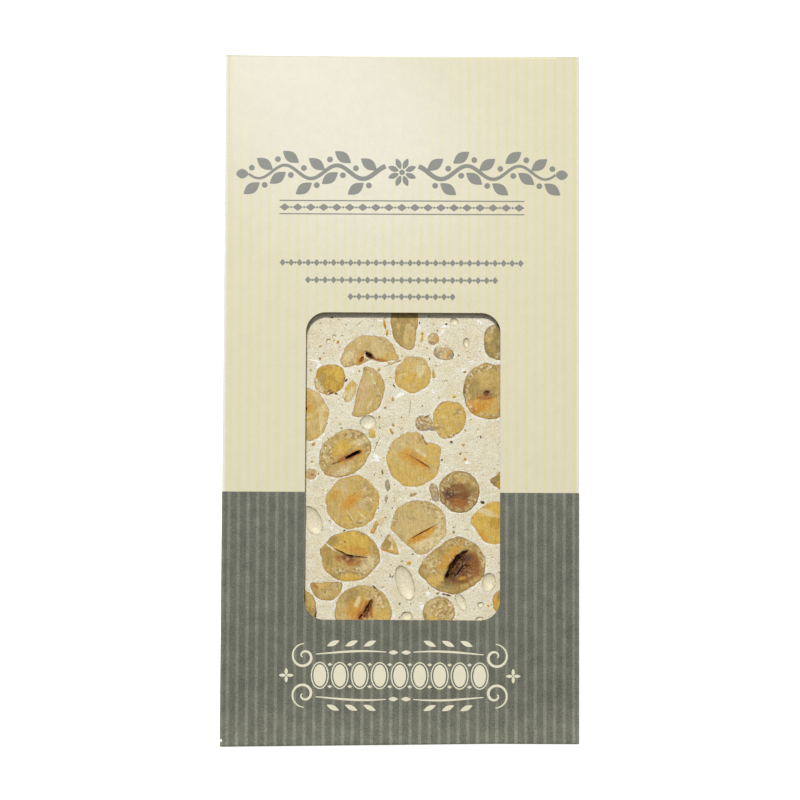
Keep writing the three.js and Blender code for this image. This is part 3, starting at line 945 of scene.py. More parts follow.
slab_centre = (slice_low + slice_high) / 2
nougat = rounded_block("nougat_slice", slice_size, slab_centre, SLICE_RADIUS, 6, slice_low.z, slice_high.z)
for axis, parts in ((0, FACE_PARTS_ACROSS), (1, FACE_PARTS_ALONG)):
    cut_planes(nougat, axis, [face_low[axis] + FACE_SIZE[axis] * i / parts for i in range(parts + 1)])
pick(nougat, "faces", lambda face: face.normal.z > 0.9 and on_face(face.calc_center_median()))
bpy.ops.mesh.subdivide(number_cuts=FACE_CUTS)
done()
places = mesh_places(nougat)
on_top = np.where(places[:, 2] > slice_high.z / MM - 1e-3)[0]
flat = places[on_top, :2]
places[on_top, 2] += sum(height * cloudy(flat, size, seed) for height, size, seed in SAW_WAVES)
move_places(nougat, places)

cad_outlines = {name: nut_outline(name) for name in nut_names}
outlines = {}
for index, name in enumerate(nut_names):
    others = np.vstack([cad_outlines[other] for other in nut_names if other != name])
    outlines[name] = roughen(cad_outlines[name], others, OUTLINE_PUSHES.get(name, ()), 1.7 * index)
cutters = []
for name, ring in outlines.items():
    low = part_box(name)[0].z
    if low < slice_low.z + 0.5 * MM:
        low -= CUTTER_REACH
    cutters.append(prism(name + "_cutter", ring, low, slice_high.z + CUTTER_REACH))
cutter = joined(cutters, "nut_cutters")

only(nougat)
bpy.ops.object.duplicate()
all_nuts = bpy.context.object
all_nuts.name = "all_nuts"
apply_modifier(all_nuts, "BOOLEAN", operation="INTERSECT", object=cutter, solver="MANIFOLD")
cut_away(nougat, cutter)
remove(cutter)

every_ring = np.vstack(list(outlines.values()))


def beside_nuts(x, y, room):
    """Tells whether a place on the face lies outside every nut, at least this far from its outline."""
    if np.hypot(*(every_ring - (x, y)).T).min() < room:
        return False
    for ring in outlines.values():
        after = np.roll(ring, -1, axis=0)
        crossed = (ring[:, 1] > y) != (after[:, 1] > y)
        rise = np.where(crossed, after[:, 1] - ring[:, 1], 1.0)
        reach = ring[:, 0] + (y - ring[:, 1]) / rise * (after[:, 0] - ring[:, 0])
        if np.count_nonzero(crossed & (reach > x)) % 2:
            return False
    return True


def scatter(draw, count, smallest, largest, room, taken):
    """Draws places for small round things between the nuts, none on another or on a place that is taken."""
    found = []
    while len(found) < count:
        x = (face_low.x + draw.random() * FACE_SIZE.x) / MM
        y = (face_low.y + draw.random() * FACE_SIZE.y) / MM
        radius = smallest + (largest - smallest) * draw.random() ** 2.5
        apart = all(
            math.hypot(x - other_x, y - other_y) > radius + other_radius + SCATTER_GAP
            for other_x, other_y, other_radius in taken + found
        )
        if apart and beside_nuts(x, y, radius + room):
            found.append((x, y, radius))
    return found


draw = random.Random(SCATTER_SEED)
bubble_places = [(x, y, long) for x, y, long, *_ in BUBBLES]
pits = scatter(draw, PIT_COUNT, PIT_SMALLEST, PIT_LARGEST, 0.25, bubble_places)
dents = [egg(x, y, long, wide, turn, deep, slice_high.z) for x, y, long, wide, turn, deep in BUBBLES]
for x, y, radius in pits:
    long = radius * (1.0 + 0.5 * draw.random())
    dents.append(egg(x, y, long, radius, 360 * draw.random(), radius * 1.1, slice_high.z, 10, 6))
dent_cutter = joined(dents, "dents")
cut_away(nougat, dent_cutter)
remove(dent_cutter)

places = mesh_places(nougat)
near = np.full(len(places), FAR_OFF)
for ring in outlines.values():
    low, high = ring.min(axis=0) - NEAR_REACH, ring.max(axis=0) + NEAR_REACH
    close = np.where(np.all((places[:, :2] > low) & (places[:, :2] < high), axis=1))[0]
    near[close] = np.minimum(near[close], gap_to(places[close], ring))
at_surface = places[:, 2] > slice_high.z / MM - SURFACE_DEPTH
places[:, 2] -= np.where(at_surface, POCKET_EDGE_DROP * smooth(1 - near / POCKET_EDGE_WIDTH), 0.0)
move_places(nougat, places)
# Painted glints: how deep each vertex lies in a glint patch.
painted_glint = np.full(len(places), -1.0)
for x, y, long, wide, turn in PAINTED_GLINTS:
    painted_glint = np.maximum(painted_glint, 1 - oval_distance(places, x, y, long, wide, turn))
bubble_edge = np.full(len(places), FAR_OFF)
for x, y, long, wide, turn, deep in BUBBLES:
    from_edge = (oval_distance(places, x, y, long, wide, turn) - 1) * min(long, wide)
    bubble_edge = np.where(np.abs(from_edge) < np.abs(bubble_edge), from_edge, bubble_edge)
store(nougat, "near", near)
store(nougat, "painted_glint", painted_glint)
store(nougat, "bubble_edge", bubble_edge)


NOUGAT, NOUGAT_WARM, NOUGAT_GREY = srgb(227, 219, 187), srgb(222, 209, 170), srgb(210, 204, 177)
NOUGAT_WHITE, NOUGAT_PORE, NOUGAT_LINE = srgb(252, 251, 247), srgb(150, 132, 92), srgb(132, 110, 66)
# A lighter cream painted inside the bubbles: painted light against their shade.
NOUGAT_HOLLOW_LIT = srgb(230, 220, 187)
nougat_flesh, tree, shader = new_material("white_nougat")
place_mm = millimetres(tree)
blots = blotches(tree, place_mm, 0.28, 3.0)
grain = blotches(tree, place_mm, 2.3, 4.0, 0.75)
coarse = blotches(tree, place_mm, 0.9, 4.0, 0.65)
speck = blotches(tree, place_mm, 3.6, 2.0, 0.6)
hatch = streaks(tree, place_mm, -38, (0.6, 3.2), 1.0, 3.0, 0.7)
colour = blend_colours(tree, fade(tree, blots, 0.38, 0.68), NOUGAT, NOUGAT_WARM)
colour = blend_colours(tree, fade(tree, coarse, 0.5, 0.7, 0.0, 0.6), colour, NOUGAT_GREY)
cells = put(tree, "TexVoronoi", {"Vector": place_mm, "Scale": 1.15})
pore_size = put(tree, "SeparateXYZ", {0: cells.outputs["Color"]}).outputs[0]
pore = maths(tree, "SUBTRACT", multiply(tree, pore_size, 0.2), cells.outputs["Distance"])
colour = blend_colours(tree, fade(tree, pore, -0.02, 0.05, 0.0, 0.7), colour, NOUGAT_PORE)
colour = blend_colours(tree, fade(tree, speck, 0.3, 0.42, 0.42, 0.0), colour, NOUGAT_PORE)
# Fine white specks: painted glints.
colour = blend_colours(tree, fade(tree, speck, 0.58, 0.7, 0.0, 0.75), colour, NOUGAT_WHITE)
# Painted highlight: white glints over the listed patches, broken into streaks and blots.
painted_glint_field = stored(tree, "painted_glint")
rough_parts = maths(tree, "ADD", multiply(tree, hatch, 1.5), multiply(tree, coarse, 1.1))
white = fade(tree, maths(tree, "ADD", multiply(tree, painted_glint_field, 0.36), rough_parts), 1.42, 1.62)
colour = blend_colours(tree, multiply(tree, white, 0.9), colour, NOUGAT_WHITE)
near_field = stored(tree, "near")
uneven = fade(tree, coarse, 0.46, 0.62, 0.0, 0.6)
pressed = multiply(tree, fade(tree, near_field, 0.1, 1.1, 1.0, 0.0), uneven)
colour = blend_colours(tree, pressed, colour, NOUGAT_WHITE)
colour = blend_colours(tree, fade(tree, near_field, 0.0, 0.25, 0.12, 0.0), colour, NOUGAT_PORE)
edge_field = stored(tree, "bubble_edge")
off_line = maths(tree, "ABSOLUTE", maths(tree, "ADD", edge_field, -0.02))
broken = fade(tree, coarse, 0.42, 0.58, 0.05, 1.0)
line = multiply(tree, fade(tree, off_line, 0.03, 0.15, 0.6, 0.0), broken)
colour = blend_colours(tree, line, colour, NOUGAT_LINE)
# Painted light: each bubble is lightened inside, against the shade it lies in.
inside = fade(tree, edge_field, -0.3, 0.0, 0.55, 0.0)
colour = blend_colours(tree, inside, colour, NOUGAT_HOLLOW_LIT)
feed(tree, shader, {
    "Base Color": lighten(tree, colour, fade(tree, grain, 0.28, 0.72, 0.8, 1.14)),
    "Roughness": fade(tree, coarse, 0.3, 0.7, 0.34, 0.58),
    "Subsurface Weight": 0.1,
    "Subsurface Radius": (1.0, 0.75, 0.5),
    "Subsurface Scale": 1.2 * MM,
    "Normal": bump(tree, maths(tree, "ADD", grain, multiply(tree, hatch, 0.5)), 0.45, 0.14 * MM),
})
give_material(nougat, nougat_flesh)
shade_round(nougat, 40)
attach(nougat, "root")
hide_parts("nougat")


# Hazelnuts. Whole roasted kernels, sawn through with the slab and held by the nougat round them. The cut
# flesh is golden to beige and waxy, a thin brown skin shows at the rim, and the cut opens the hollow in some
# of them.
NUT_LIFT = 0.06
NUT_EDGE_DROP, NUT_EDGE_WIDTH = 0.035, 0.45
FLAKE_PALE, FLAKE_DARK = srgb(226, 206, 156), srgb(150, 112, 52)
FROST_PALE, FROST_GAP, FROST_GLINT = srgb(210, 187, 126), srgb(154, 123, 66), srgb(232, 217, 174)
SKIN, ROASTED_RIM = srgb(92, 64, 32), srgb(190, 126, 48)
# Deep in the hollows: torn brown flesh and painted shade, darker with depth.
TORN_AND_SHADE_DARK, TORN_AND_SHADE_PALE = srgb(62, 39, 21), srgb(146, 96, 46)
FLESH = {
    "beige": (203, 178, 114), "gold": (206, 172, 84), "yellow": (188, 148, 32), "olive": (168, 139, 70),
    "moss": (146, 126, 66), "orange": (202, 138, 24), "rust": (166, 98, 20), "brown": (126, 78, 22),
    "umber": (90, 56, 22), "pink": (203, 172, 116), "light": (220, 199, 144),
    "lemon": (210, 172, 66), "grey": (160, 146, 114), "straw": (197, 166, 91), "mauve": (172, 154, 130),
    "amber": (204, 150, 48), "white": (240, 232, 208),
}

# For each nut: its flesh, a second tone that clouds it, how much pale ring it has inside the rim, how
# strong the rim's skin is, and its marks. A mark is a tone, its place, half lengths and turn, and how soft
# its edge is.
NUT_LOOKS = {
    "hazelnut_top_half": ("olive", "straw", 0.1, 0.6, (
        ("beige", 2.1, 15.9, 2.9, 1.5, 88, 0.3), ("straw", 2.3, 15.4, 2.2, 1.1, 88, 0.6),
        ("orange", 4.4, 17.6, 3.2, 0.32, 100, 0.6), ("olive", -1.7, 17.8, 2.8, 0.9, 108, 0.8),
        ("pink", 4.9, 16.0, 0.7, 0.3, 60, 0.4))),
    "hazelnut_arch": ("beige", "straw", 0.0, 0.6, (
        ("beige", -6.3, 13.0, 2.6, 1.3, -25, 0.8), ("gold", -3.0, 10.9, 3.1, 1.0, 20, 0.8),
        ("light", -13.4, 10.6, 1.8, 1.2, 60, 0.9),
        ("amber", -10.2, 10.2, 1.7, 1.0, 60, 0.6), ("rust", -9.9, 9.9, 1.1, 0.5, 50, 0.7),
        ("rust", -5.6, 9.9, 2.2, 0.3, -8, 0.6), ("pink", -14.3, 11.4, 1.8, 0.4, 65, 0.8),
        ("frost", -4.4, 14.4, 2.6, 0.5, -38, 0.5), ("frost", -12.8, 9.0, 1.5, 1.0, 40, 0.6),
        ("brown", -8.0, 11.0, 1.7, 0.8, -38, 0.5), ("umber", -8.1, 11.3, 1.0, 0.4, -38, 0.5),
        ("white", -9.2, 10.9, 0.9, 0.17, 82, 0.4), ("white", -7.6, 10.0, 1.3, 0.15, -20, 0.4))),
    "hazelnut_round_upper": ("gold", "beige", 0.0, 0.45, (
        ("light", 4.6, 7.2, 2.0, 1.3, 60, 0.9), ("gold", 1.6, 2.6, 2.6, 0.7, -20, 0.9),
        ("lemon", 2.4, 5.4, 1.8, 1.2, 40, 0.6), ("light", 0.6, 6.2, 1.7, 0.16, 20, 0.6),
        ("amber", -1.5, 6.0, 0.4, 2.0, 10, 0.8), ("brown", -0.8, 8.8, 1.2, 0.22, 48, 0.6),
        ("frost", 4.9, 9.4, 1.4, 0.4, -30, 0.6))),
    "hazelnut_yellow": ("yellow", "lemon", 0.0, 0.9, (
        ("frost", -20.8, 3.0, 2.3, 1.2, 130, 0.6), ("frost", -18.8, 1.5, 1.8, 0.6, -25, 0.6),
        ("light", -20.8, 3.0, 2.0, 1.0, 130, 0.9), ("olive", -19.8, 4.8, 1.6, 0.8, 80, 0.9),
        ("lemon", -16.2, 6.2, 2.0, 1.1, 120, 0.9),
        ("umber", -14.1, 4.6, 0.7, 0.28, 110, 0.5), ("umber", -18.2, 1.9, 0.8, 0.25, 20, 0.5))),
    "hazelnut_wedge": ("straw", "beige", 0.0, 0.75, (
        ("pink", -8.9, 3.0, 4.6, 1.3, 76, 0.8), ("beige", -7.7, 4.8, 1.3, 1.2, 78, 1.0),
        ("light", -6.7, 4.0, 1.3, 0.2, 120, 0.5), ("frost", -6.0, 1.5, 3.2, 0.6, 106, 0.5),
        ("frost", -8.4, 6.8, 1.8, 0.5, -35, 0.5), ("light", -7.9, -1.4, 1.4, 0.3, 60, 0.6))),
    "hazelnut_edge_upper": ("moss", "olive", 0.1, 0.8, (
        ("straw", 22.2, 15.4, 1.2, 1.0, 0, 0.5), ("frost", 22.8, 17.6, 2.2, 0.7, 60, 0.6),
        ("frost", 24.2, 10.9, 1.8, 0.8, 20, 0.5), ("olive", 23.0, 12.7, 1.2, 0.9, 0, 0.7))),
    "hazelnut_ringed": ("olive", "straw", 0.7, 0.75, (
        ("straw", 21.6, 5.4, 3.6, 2.4, 0, 0.9), ("olive", 18.6, 2.6, 1.3, 2.8, 0, 0.9),
        ("amber", 20.4, -2.1, 4.8, 2.6, 12, 0.14), ("orange", 18.9, -2.6, 2.2, 1.2, 20, 1.0),
        ("gold", 21.8, -3.6, 2.0, 0.8, 10, 0.8), ("straw", 24.6, -0.9, 2.3, 1.3, 50, 0.2),
        ("umber", 16.0, 2.5, 1.2, 0.6, 80, 0.6), ("rust", 21.0, 0.3, 1.9, 0.6, 0, 0.9),
        ("brown", 21.7, 1.5, 1.0, 0.75, 0, 0.6), ("umber", 21.7, 2.1, 0.8, 0.25, 0, 0.6),
        ("frost", 20.6, 7.6, 4.0, 0.8, 20, 0.5))),
    "hazelnut_edge_left": ("gold", "light", 0.0, 0.6, (
        ("straw", -22.4, -7.8, 3.4, 1.4, 70, 0.9), ("amber", -24.0, -1.6, 1.2, 2.2, 0, 0.9),
        ("umber", -24.9, -2.8, 2.6, 0.8, 88, 0.5), ("light", -20.2, -5.0, 4.0, 0.45, 90, 0.8),
        ("straw", -21.6, -0.9, 2.0, 0.6, 130, 0.6))),
    "hazelnut_round_right": ("gold", "lemon", 0.0, 1.0, (
        ("frost", 14.4, -3.4, 1.5, 1.0, 20, 0.6), ("frost", 13.0, -9.1, 3.0, 0.6, 14, 0.5),
        ("frost", 9.6, -7.6, 1.2, 1.8, 30, 0.6), ("light", 12.0, -7.2, 1.7, 0.16, -56, 0.5),
        ("gold", 11.2, -4.4, 2.4, 1.6, 90, 0.9), ("straw", 14.9, -6.4, 2.0, 0.5, 90, 0.8))),
    "hazelnut_slit": ("straw", "olive", 0.45, 1.0, (
        ("frost", -19.0, -14.2, 3.2, 2.2, 70, 0.5), ("frost", -11.4, -9.8, 4.0, 1.5, 14, 0.5),
        ("frost", -8.6, -12.8, 2.4, 0.7, 110, 0.5), ("lemon", -14.6, -12.2, 3.4, 1.5, 36, 0.5),
        ("light", -14.0, -18.2, 3.6, 0.8, 22, 0.8), ("gold", -10.4, -16.4, 2.8, 1.2, 50, 0.7),
        ("light", -9.8, -10.8, 2.2, 0.9, 14, 0.9),
        ("pink", -14.0, -16.6, 2.6, 0.6, 24, 0.7), ("amber", -12.8, -14.6, 4.0, 1.1, 27, 0.8),
        ("rust", -14.8, -15.4, 1.9, 0.55, 25, 0.8), ("moss", -16.4, -16.3, 1.8, 0.15, 20, 0.5),
        ("rust", -12.4, -14.4, 2.8, 0.8, 27, 0.7), ("umber", -12.0, -14.2, 2.3, 0.5, 27, 0.4))),
    "hazelnut_broad": ("gold", "beige", 0.0, 0.35, (
        ("gold", 1.0, -18.8, 4.6, 2.2, 0, 1.0), ("amber", 2.8, -14.9, 4.6, 1.7, -31, 1.0),
        ("beige", 0.2, -11.2, 3.0, 1.6, 40, 0.8), ("gold", 7.6, -13.6, 1.8, 1.2, 60, 0.9),
        ("orange", 4.4, -15.9, 3.4, 0.55, -31, 0.9), ("rust", 4.6, -15.7, 3.2, 0.2, -31, 0.7),
        ("light", 5.0, -13.6, 1.8, 0.4, -35, 0.7), ("frost", 5.8, -10.2, 1.4, 1.2, -45, 0.5),
        ("brown", 6.0, -10.6, 1.2, 0.3, -55, 0.6), ("frost", -2.9, -12.6, 0.5, 1.8, -20, 0.6))),
    "hazelnut_brown": ("olive", "moss", 0.5, 1.0, (
        ("straw", 16.0, -20.8, 3.0, 1.4, -20, 0.8), ("frost", 12.4, -20.8, 3.0, 1.1, 30, 0.6),
        ("brown", 14.2, -24.4, 4.6, 3.2, -10, 0.9), ("umber", 12.2, -24.2, 1.8, 0.9, -10, 0.9),
        ("frost", 18.0, -25.6, 1.1, 2.6, -20, 0.5), ("frost", 12.0, -28.6, 2.4, 0.6, -20, 0.5),
        ("rust", 14.8, -26.4, 2.2, 1.3, 0, 1.0), ("brown", 15.8, -24.6, 1.4, 0.8, 20, 0.8),
        ("frost", 9.6, -21.8, 1.1, 2.0, 20, 0.4))),
    "hazelnut_large_left": ("gold", "straw", 0.05, 0.45, (
        ("straw", -10.9, -21.6, 2.4, 1.2, -14, 0.5), ("frost", -8.2, -24.4, 1.4, 3.8, 12, 0.8),
        ("pink", -14.0, -23.0, 0.9, 1.5, 10, 0.3), ("pink", -9.9, -27.0, 1.5, 1.1, 30, 0.3),
        ("amber", -12.6, -26.0, 3.0, 1.2, 42, 0.9), ("orange", -12.3, -26.4, 1.2, 0.8, 30, 1.0),
        ("amber", -16.8, -24.4, 1.2, 0.8, 60, 1.0), ("beige", -15.0, -21.6, 1.8, 0.9, 30, 0.9),
        ("light", -12.4, -30.0, 2.0, 0.18, -58, 0.5),
        ("light", -9.6, -29.6, 1.8, 0.18, -40, 0.5), ("frost", -10.4, -31.4, 2.4, 0.5, 12, 0.5),
        ("straw", -16.0, -28.8, 2.4, 1.6, -40, 0.6))),
    "hazelnut_lens": ("beige", "straw", 0.25, 0.7, (
        ("frost", 10.2, -33.4, 4.4, 1.2, 75, 0.4), ("frost", 6.8, -37.4, 3.6, 1.0, 18, 0.4),
        ("light", 10.2, -33.0, 5.0, 2.0, 75, 0.6), ("light", 6.8, -37.0, 4.2, 1.6, 18, 0.6),
        ("frost", 7.2, -27.9, 4.4, 1.2, -38, 0.5), ("frost", -1.0, -30.4, 0.6, 2.2, -20, 0.5),
        ("gold", 2.2, -37.0, 1.9, 0.8, -30, 0.7), ("beige", 2.0, -32.0, 2.8, 3.4, 30, 0.8),
        ("beige", 4.8, -30.6, 2.8, 1.0, 30, 0.9), ("amber", 5.5, -34.4, 4.1, 1.05, 29, 0.16),
        ("orange", 4.9, -34.5, 2.9, 0.55, 27, 0.8), ("brown", 5.9, -33.5, 3.4, 0.16, 29, 0.6))),
    "hazelnut_edge_lower": ("lemon", "gold", 0.0, 0.3, (
        ("yellow", 24.2, -31.3, 1.7, 1.6, 0, 0.1), ("light", 21.8, -28.6, 2.6, 0.8, -20, 0.8),
        ("amber", 20.6, -35.0, 1.0, 1.8, 30, 1.0), ("rust", 18.0, -29.9, 0.4, 0.3, 0, 0.6))),
    "hazelnut_split": ("olive", "straw", 0.0, 0.6, (
        ("lemon", -13.0, -36.4, 5.6, 2.8, -8, 0.4), ("amber", -10.2, -38.4, 3.4, 0.9, -14, 0.8),
        ("olive", -17.2, -36.0, 2.0, 1.4, 30, 0.9), ("gold", -18.0, -41.0, 2.8, 1.7, 100, 0.6),
        ("olive", -18.0, -40.6, 2.4, 1.2, 100, 1.5),
        ("frost", -8.6, -42.2, 3.4, 2.4, 40, 0.5), ("light", -8.2, -41.8, 2.6, 1.6, 40, 0.9),
        ("lemon", -12.6, -45.2, 2.6, 1.0, 0, 0.5),
        ("frost", -15.2, -43.4, 1.9, 1.0, 0, 0.4), ("white", -17.6, -37.5, 2.0, 0.16, -38, 0.4),
        ("rust", -12.6, -40.9, 3.2, 1.1, -10, 0.9), ("brown", -13.0, -40.4, 2.0, 0.8, -14, 0.8),
        ("brown", -14.6, -38.9, 2.0, 0.2, -27, 0.5), ("brown", -10.5, -39.9, 2.0, 0.16, -4, 0.5),
        ("umber", -12.7, -39.8, 1.2, 0.3, -20, 0.5), ("frost", -5.9, -41.6, 0.7, 1.2, 0, 0.4))),
    "hazelnut_chip": ("light", "beige", 0.0, 0.4, (
        ("olive", -3.5, -36.1, 2.0, 1.3, 80, 0.15), ("light", -2.3, -35.4, 0.7, 0.6, 0, 0.4),
        ("gold", -1.2, -37.6, 1.9, 0.5, 108, 0.6), ("amber", -3.2, -38.4, 2.0, 0.35, -10, 0.8))),
    "hazelnut_dark_heart": ("olive", "straw", 0.15, 1.0, (
        ("straw", 8.4, -41.6, 3.0, 2.6, 60, 0.8), ("frost", 8.1, -41.6, 2.8, 2.8, 60, 0.5),
        ("frost", 14.6, -36.4, 4.4, 1.0, 0, 0.5), ("frost", 20.4, -39.6, 0.9, 2.6, 14, 0.6),
        ("gold", 9.0, -46.0, 2.4, 1.5, 14, 0.6), ("moss", 11.8, -46.8, 2.6, 1.1, 14, 0.9),
        ("amber", 12.2, -40.0, 4.6, 1.2, 50, 0.8), ("rust", 16.6, -42.6, 4.4, 3.4, 44, 0.7),
        ("brown", 16.9, -42.6, 3.6, 2.6, 50, 0.8), ("brown", 14.9, -45.6, 3.0, 1.2, 14, 0.9),
        ("amber", 15.6, -45.2, 1.1, 0.35, 10, 0.8), ("umber", 14.6, -42.2, 4.3, 1.9, 55, 0.6),
        ("brown", 17.6, -41.4, 1.6, 0.6, 50, 0.9), ("umber", 13.8, -41.9, 3.9, 1.1, 57, 0.5))),
    "hazelnut_half_moon": ("straw", "olive", 0.15, 0.8, (
        ("rust", -21.4, -47.3, 1.0, 0.4, -50, 0.8), ("beige", -18.6, -49.0, 1.7, 0.7, 0, 0.7),
        ("frost", -15.9, -47.0, 1.6, 0.8, 60, 0.6), ("gold", -19.2, -46.8, 1.4, 0.8, 0, 0.8),
        ("umber", -15.4, -45.6, 0.7, 0.25, 50, 0.6))),
    "hazelnut_corner_left": ("olive", "gold", 0.0, 0.8, (
        ("straw", -22.6, -50.6, 2.2, 0.8, 115, 0.8), ("umber", -21.1, -54.6, 2.0, 0.35, 80, 0.6))),
    "hazelnut_open_core": ("straw", "beige", 0.3, 0.8, (
        ("olive", -12.4, -50.2, 2.6, 2.2, 40, 0.8), ("gold", -4.6, -54.4, 2.0, 3.4, 10, 0.6),
        ("frost", -6.0, -50.8, 3.2, 1.9, -40, 0.5), ("amber", -10.8, -53.2, 3.4, 2.4, 60, 0.7),
        ("light", -10.8, -51.4, 1.5, 0.6, 66, 0.7), ("rust", -8.7, -53.4, 3.4, 1.5, 62, 0.6),
        ("brown", -8.2, -53.0, 2.3, 0.8, 64, 0.5), ("amber", -9.5, -52.4, 1.5, 0.3, 66, 0.5),
        ("rust", -7.2, -54.0, 1.4, 0.3, 100, 0.5))),
    "hazelnut_round_lower": ("olive", "light", 0.4, 0.9, (
        ("straw", 9.4, -52.9, 2.2, 1.6, 0, 0.8), ("frost", 10.6, -53.0, 3.0, 3.6, 20, 0.9),
        ("lemon", 8.4, -55.4, 1.3, 0.8, 0, 0.8), ("pink", 6.8, -52.2, 1.2, 0.5, 70, 0.8))),
    "hazelnut_corner_right": ("amber", "gold", 0.0, 0.5, (("moss", 25.4, -49.6, 1.2, 0.8, 90, 0.8),)),
    "hazelnut_edge_tip": ("yellow", "moss", 0.0, 0.4, (("moss", 23.6, -21.2, 1.4, 0.8, 90, 0.8),)),
    "hazelnut_sliver": ("gold", "light", 0.0, 0.15, (("light", -12.8, 1.0, 2.0, 0.8, 70, 0.8),)),
    "hazelnut_crumb_pink": ("pink", "mauve", 0.2, 0.8, (
        ("frost", 7.7, 15.1, 1.5, 1.5, 0, 0.8), ("amber", 8.9, 15.1, 0.7, 0.5, 90, 0.7))),
    "hazelnut_crumb_grey": ("grey", "light", 0.0, 0.9, (
        ("frost", 10.0, 12.2, 1.8, 1.4, 0, 0.8), ("amber", 11.9, 11.6, 1.1, 0.4, 65, 0.6),
        ("pink", 10.9, 11.0, 1.2, 0.35, 70, 0.6))),
    "hazelnut_crumb_clear": ("mauve", "straw", 0.3, 1.0, (
        ("frost", 5.7, -6.0, 2.2, 1.9, 30, 0.9), ("gold", 7.4, -6.9, 0.9, 0.8, 20, 0.7))),
    "hazelnut_crumb_skin": ("mauve", "grey", 0.0, 1.0, (
        ("frost", 8.5, -23.4, 2.6, 1.2, 106, 0.9), ("umber", 7.0, -21.4, 1.3, 0.25, 50, 0.5))),
    "hazelnut_crumb_left": ("light", "pink", 0.0, 0.15, (
        ("pink", -22.6, -19.4, 1.4, 1.2, 0, 0.9), ("rust", -22.3, -19.3, 0.4, 0.36, 0, 0.7))),
}

# Hollows and cracks that the saw opened: place, half lengths, turn and depth.
HOLLOWS = {
    "hazelnut_arch": ((-8.1, 10.9, 1.35, 0.62, -38, 1.6), (-9.9, 10.0, 0.8, 0.5, 60, 0.5)),
    "hazelnut_ringed": ((21.7, 1.5, 0.75, 0.6, 0, 0.5),),
    "hazelnut_edge_left": ((-24.9, -3.0, 2.4, 1.0, 88, 1.8),),
    "hazelnut_slit": ((-12.1, -14.2, 2.2, 0.5, 27, 2.2), (-16.4, -16.3, 1.7, 0.1, 20, 0.3)),
    "hazelnut_broad": ((5.6, -16.3, 2.4, 0.12, -31, 0.4), (5.9, -9.8, 1.0, 0.3, -45, 0.8)),
    "hazelnut_lens": ((5.9, -33.5, 3.5, 0.11, 29, 0.5),),
    "hazelnut_split": ((-14.7, -38.8, 1.9, 0.14, -28, 0.6), (-12.5, -39.7, 1.3, 0.28, -16, 0.9),
                       (-10.2, -40.0, 1.9, 0.12, -3, 0.5)),
    "hazelnut_dark_heart": ((13.9, -41.9, 4.2, 1.5, 56, 2.4), (15.6, -43.2, 2.4, 1.2, 40, 0.9)),
    "hazelnut_open_core": ((-8.3, -53.2, 2.6, 0.65, 64, 1.1), (-9.8, -55.2, 1.2, 0.55, 60, 1.0)),
    "hazelnut_round_right": ((12.0, -7.2, 1.5, 0.08, -56, 0.2),),
    "hazelnut_large_left": ((-12.6, -30.4, 2.2, 0.08, -50, 0.2),),
}

hollow_eggs = [egg(*hollow, slice_high.z, 36, 18, 0.5) for hollows in HOLLOWS.values() for hollow in hollows]
hollow_cutter = joined(hollow_eggs, "hollows")
pick(hollow_cutter, "faces", lambda face: True)
bpy.ops.mesh.remove_doubles(threshold=1e-9)
done()
cut_away(all_nuts, hollow_cutter)
remove(hollow_cutter)


def even_tone(tone, count):
    """A tone's colour, once for each of so many vertices."""
    return np.tile(np.array(srgb(*FLESH[tone])), (count, 1))


def crystals(tree, place_mm, size, pale, gap, glint):
    """Frosty broken sugar or flesh: pale facets with darker gaps between them, and a white glint on some."""
    warp = put(tree, "TexNoise", {"Vector": place_mm, "Scale": 1.6 * size, "Detail": 2.0}).outputs["Color"]
    shift = scaled(tree, warp, 0.7 / size)
    moved = put(tree, "VectorMath", {0: place_mm, 1: shift}, operation="ADD").outputs[0]
    cells = put(tree, "TexVoronoi", {"Vector": moved, "Scale": size})
    edges = put(tree, "TexVoronoi", {"Vector": moved, "Scale": size}, feature="DISTANCE_TO_EDGE")
    pick_one = put(tree, "SeparateXYZ", {0: cells.outputs["Color"]})
    colour = blend_colours(tree, fade(tree, pick_one.outputs[0], 0.3, 0.8), pale, gap)
    colour = blend_colours(tree, fade(tree, edges.outputs["Distance"], 0.02, 0.13, 0.75, 0.0), colour, gap)
    return blend_colours(tree, fade(tree, pick_one.outputs[1], 0.78, 0.88, 0.0, 0.85), colour, glint)


nut_flesh, tree, shader = new_material("cut_hazelnut")
place_mm = millimetres(tree)
tone = stored(tree, "tone", "Color")
tone_two = stored(tree, "tone_two", "Color")
rim = stored(tree, "rim")
below = stored(tree, "below")
ring_strength = stored(tree, "pale_ring")
skin_strength = stored(tree, "skin")
frost_strength = stored(tree, "frost")
patches = blotches(tree, place_mm, 0.42, 5.0, distortion=0.6)
flakes = blotches(tree, place_mm, 0.75, 5.0, distortion=1.2)
grain = blotches(tree, place_mm, 2.6, 4.0, 0.75)
fibres = streaks(tree, place_mm, 35, (3.4, 0.5), 0.9, 3.0)
scratches = streaks(tree, place_mm, -62, (4.0, 0.6), 0.9, 2.0)
colour = blend_colours(tree, fade(tree, patches, 0.49, 0.54, 0.0, 0.7), tone, tone_two)
colour = blend_colours(tree, fade(tree, flakes, 0.6, 0.64, 0.0, 0.32), colour, FLAKE_PALE)
colour = blend_colours(tree, fade(tree, flakes, 0.36, 0.4, 0.28, 0.0), colour, FLAKE_DARK)
colour = lighten(tree, colour, fade(tree, fibres, 0.32, 0.68, 0.9, 1.08))
colour = lighten(tree, colour, fade(tree, scratches, 0.32, 0.68, 0.95, 1.05))
colour = lighten(tree, colour, fade(tree, grain, 0.28, 0.72, 0.84, 1.12))
frosting = crystals(tree, place_mm, 1.9, FROST_PALE, FROST_GAP, FROST_GLINT)
ragged = maths(tree, "ADD", frost_strength, swing(tree, flakes, 2.4))
frost_mask = fade(tree, ragged, 0.35, 0.8, 0.0, 0.66)
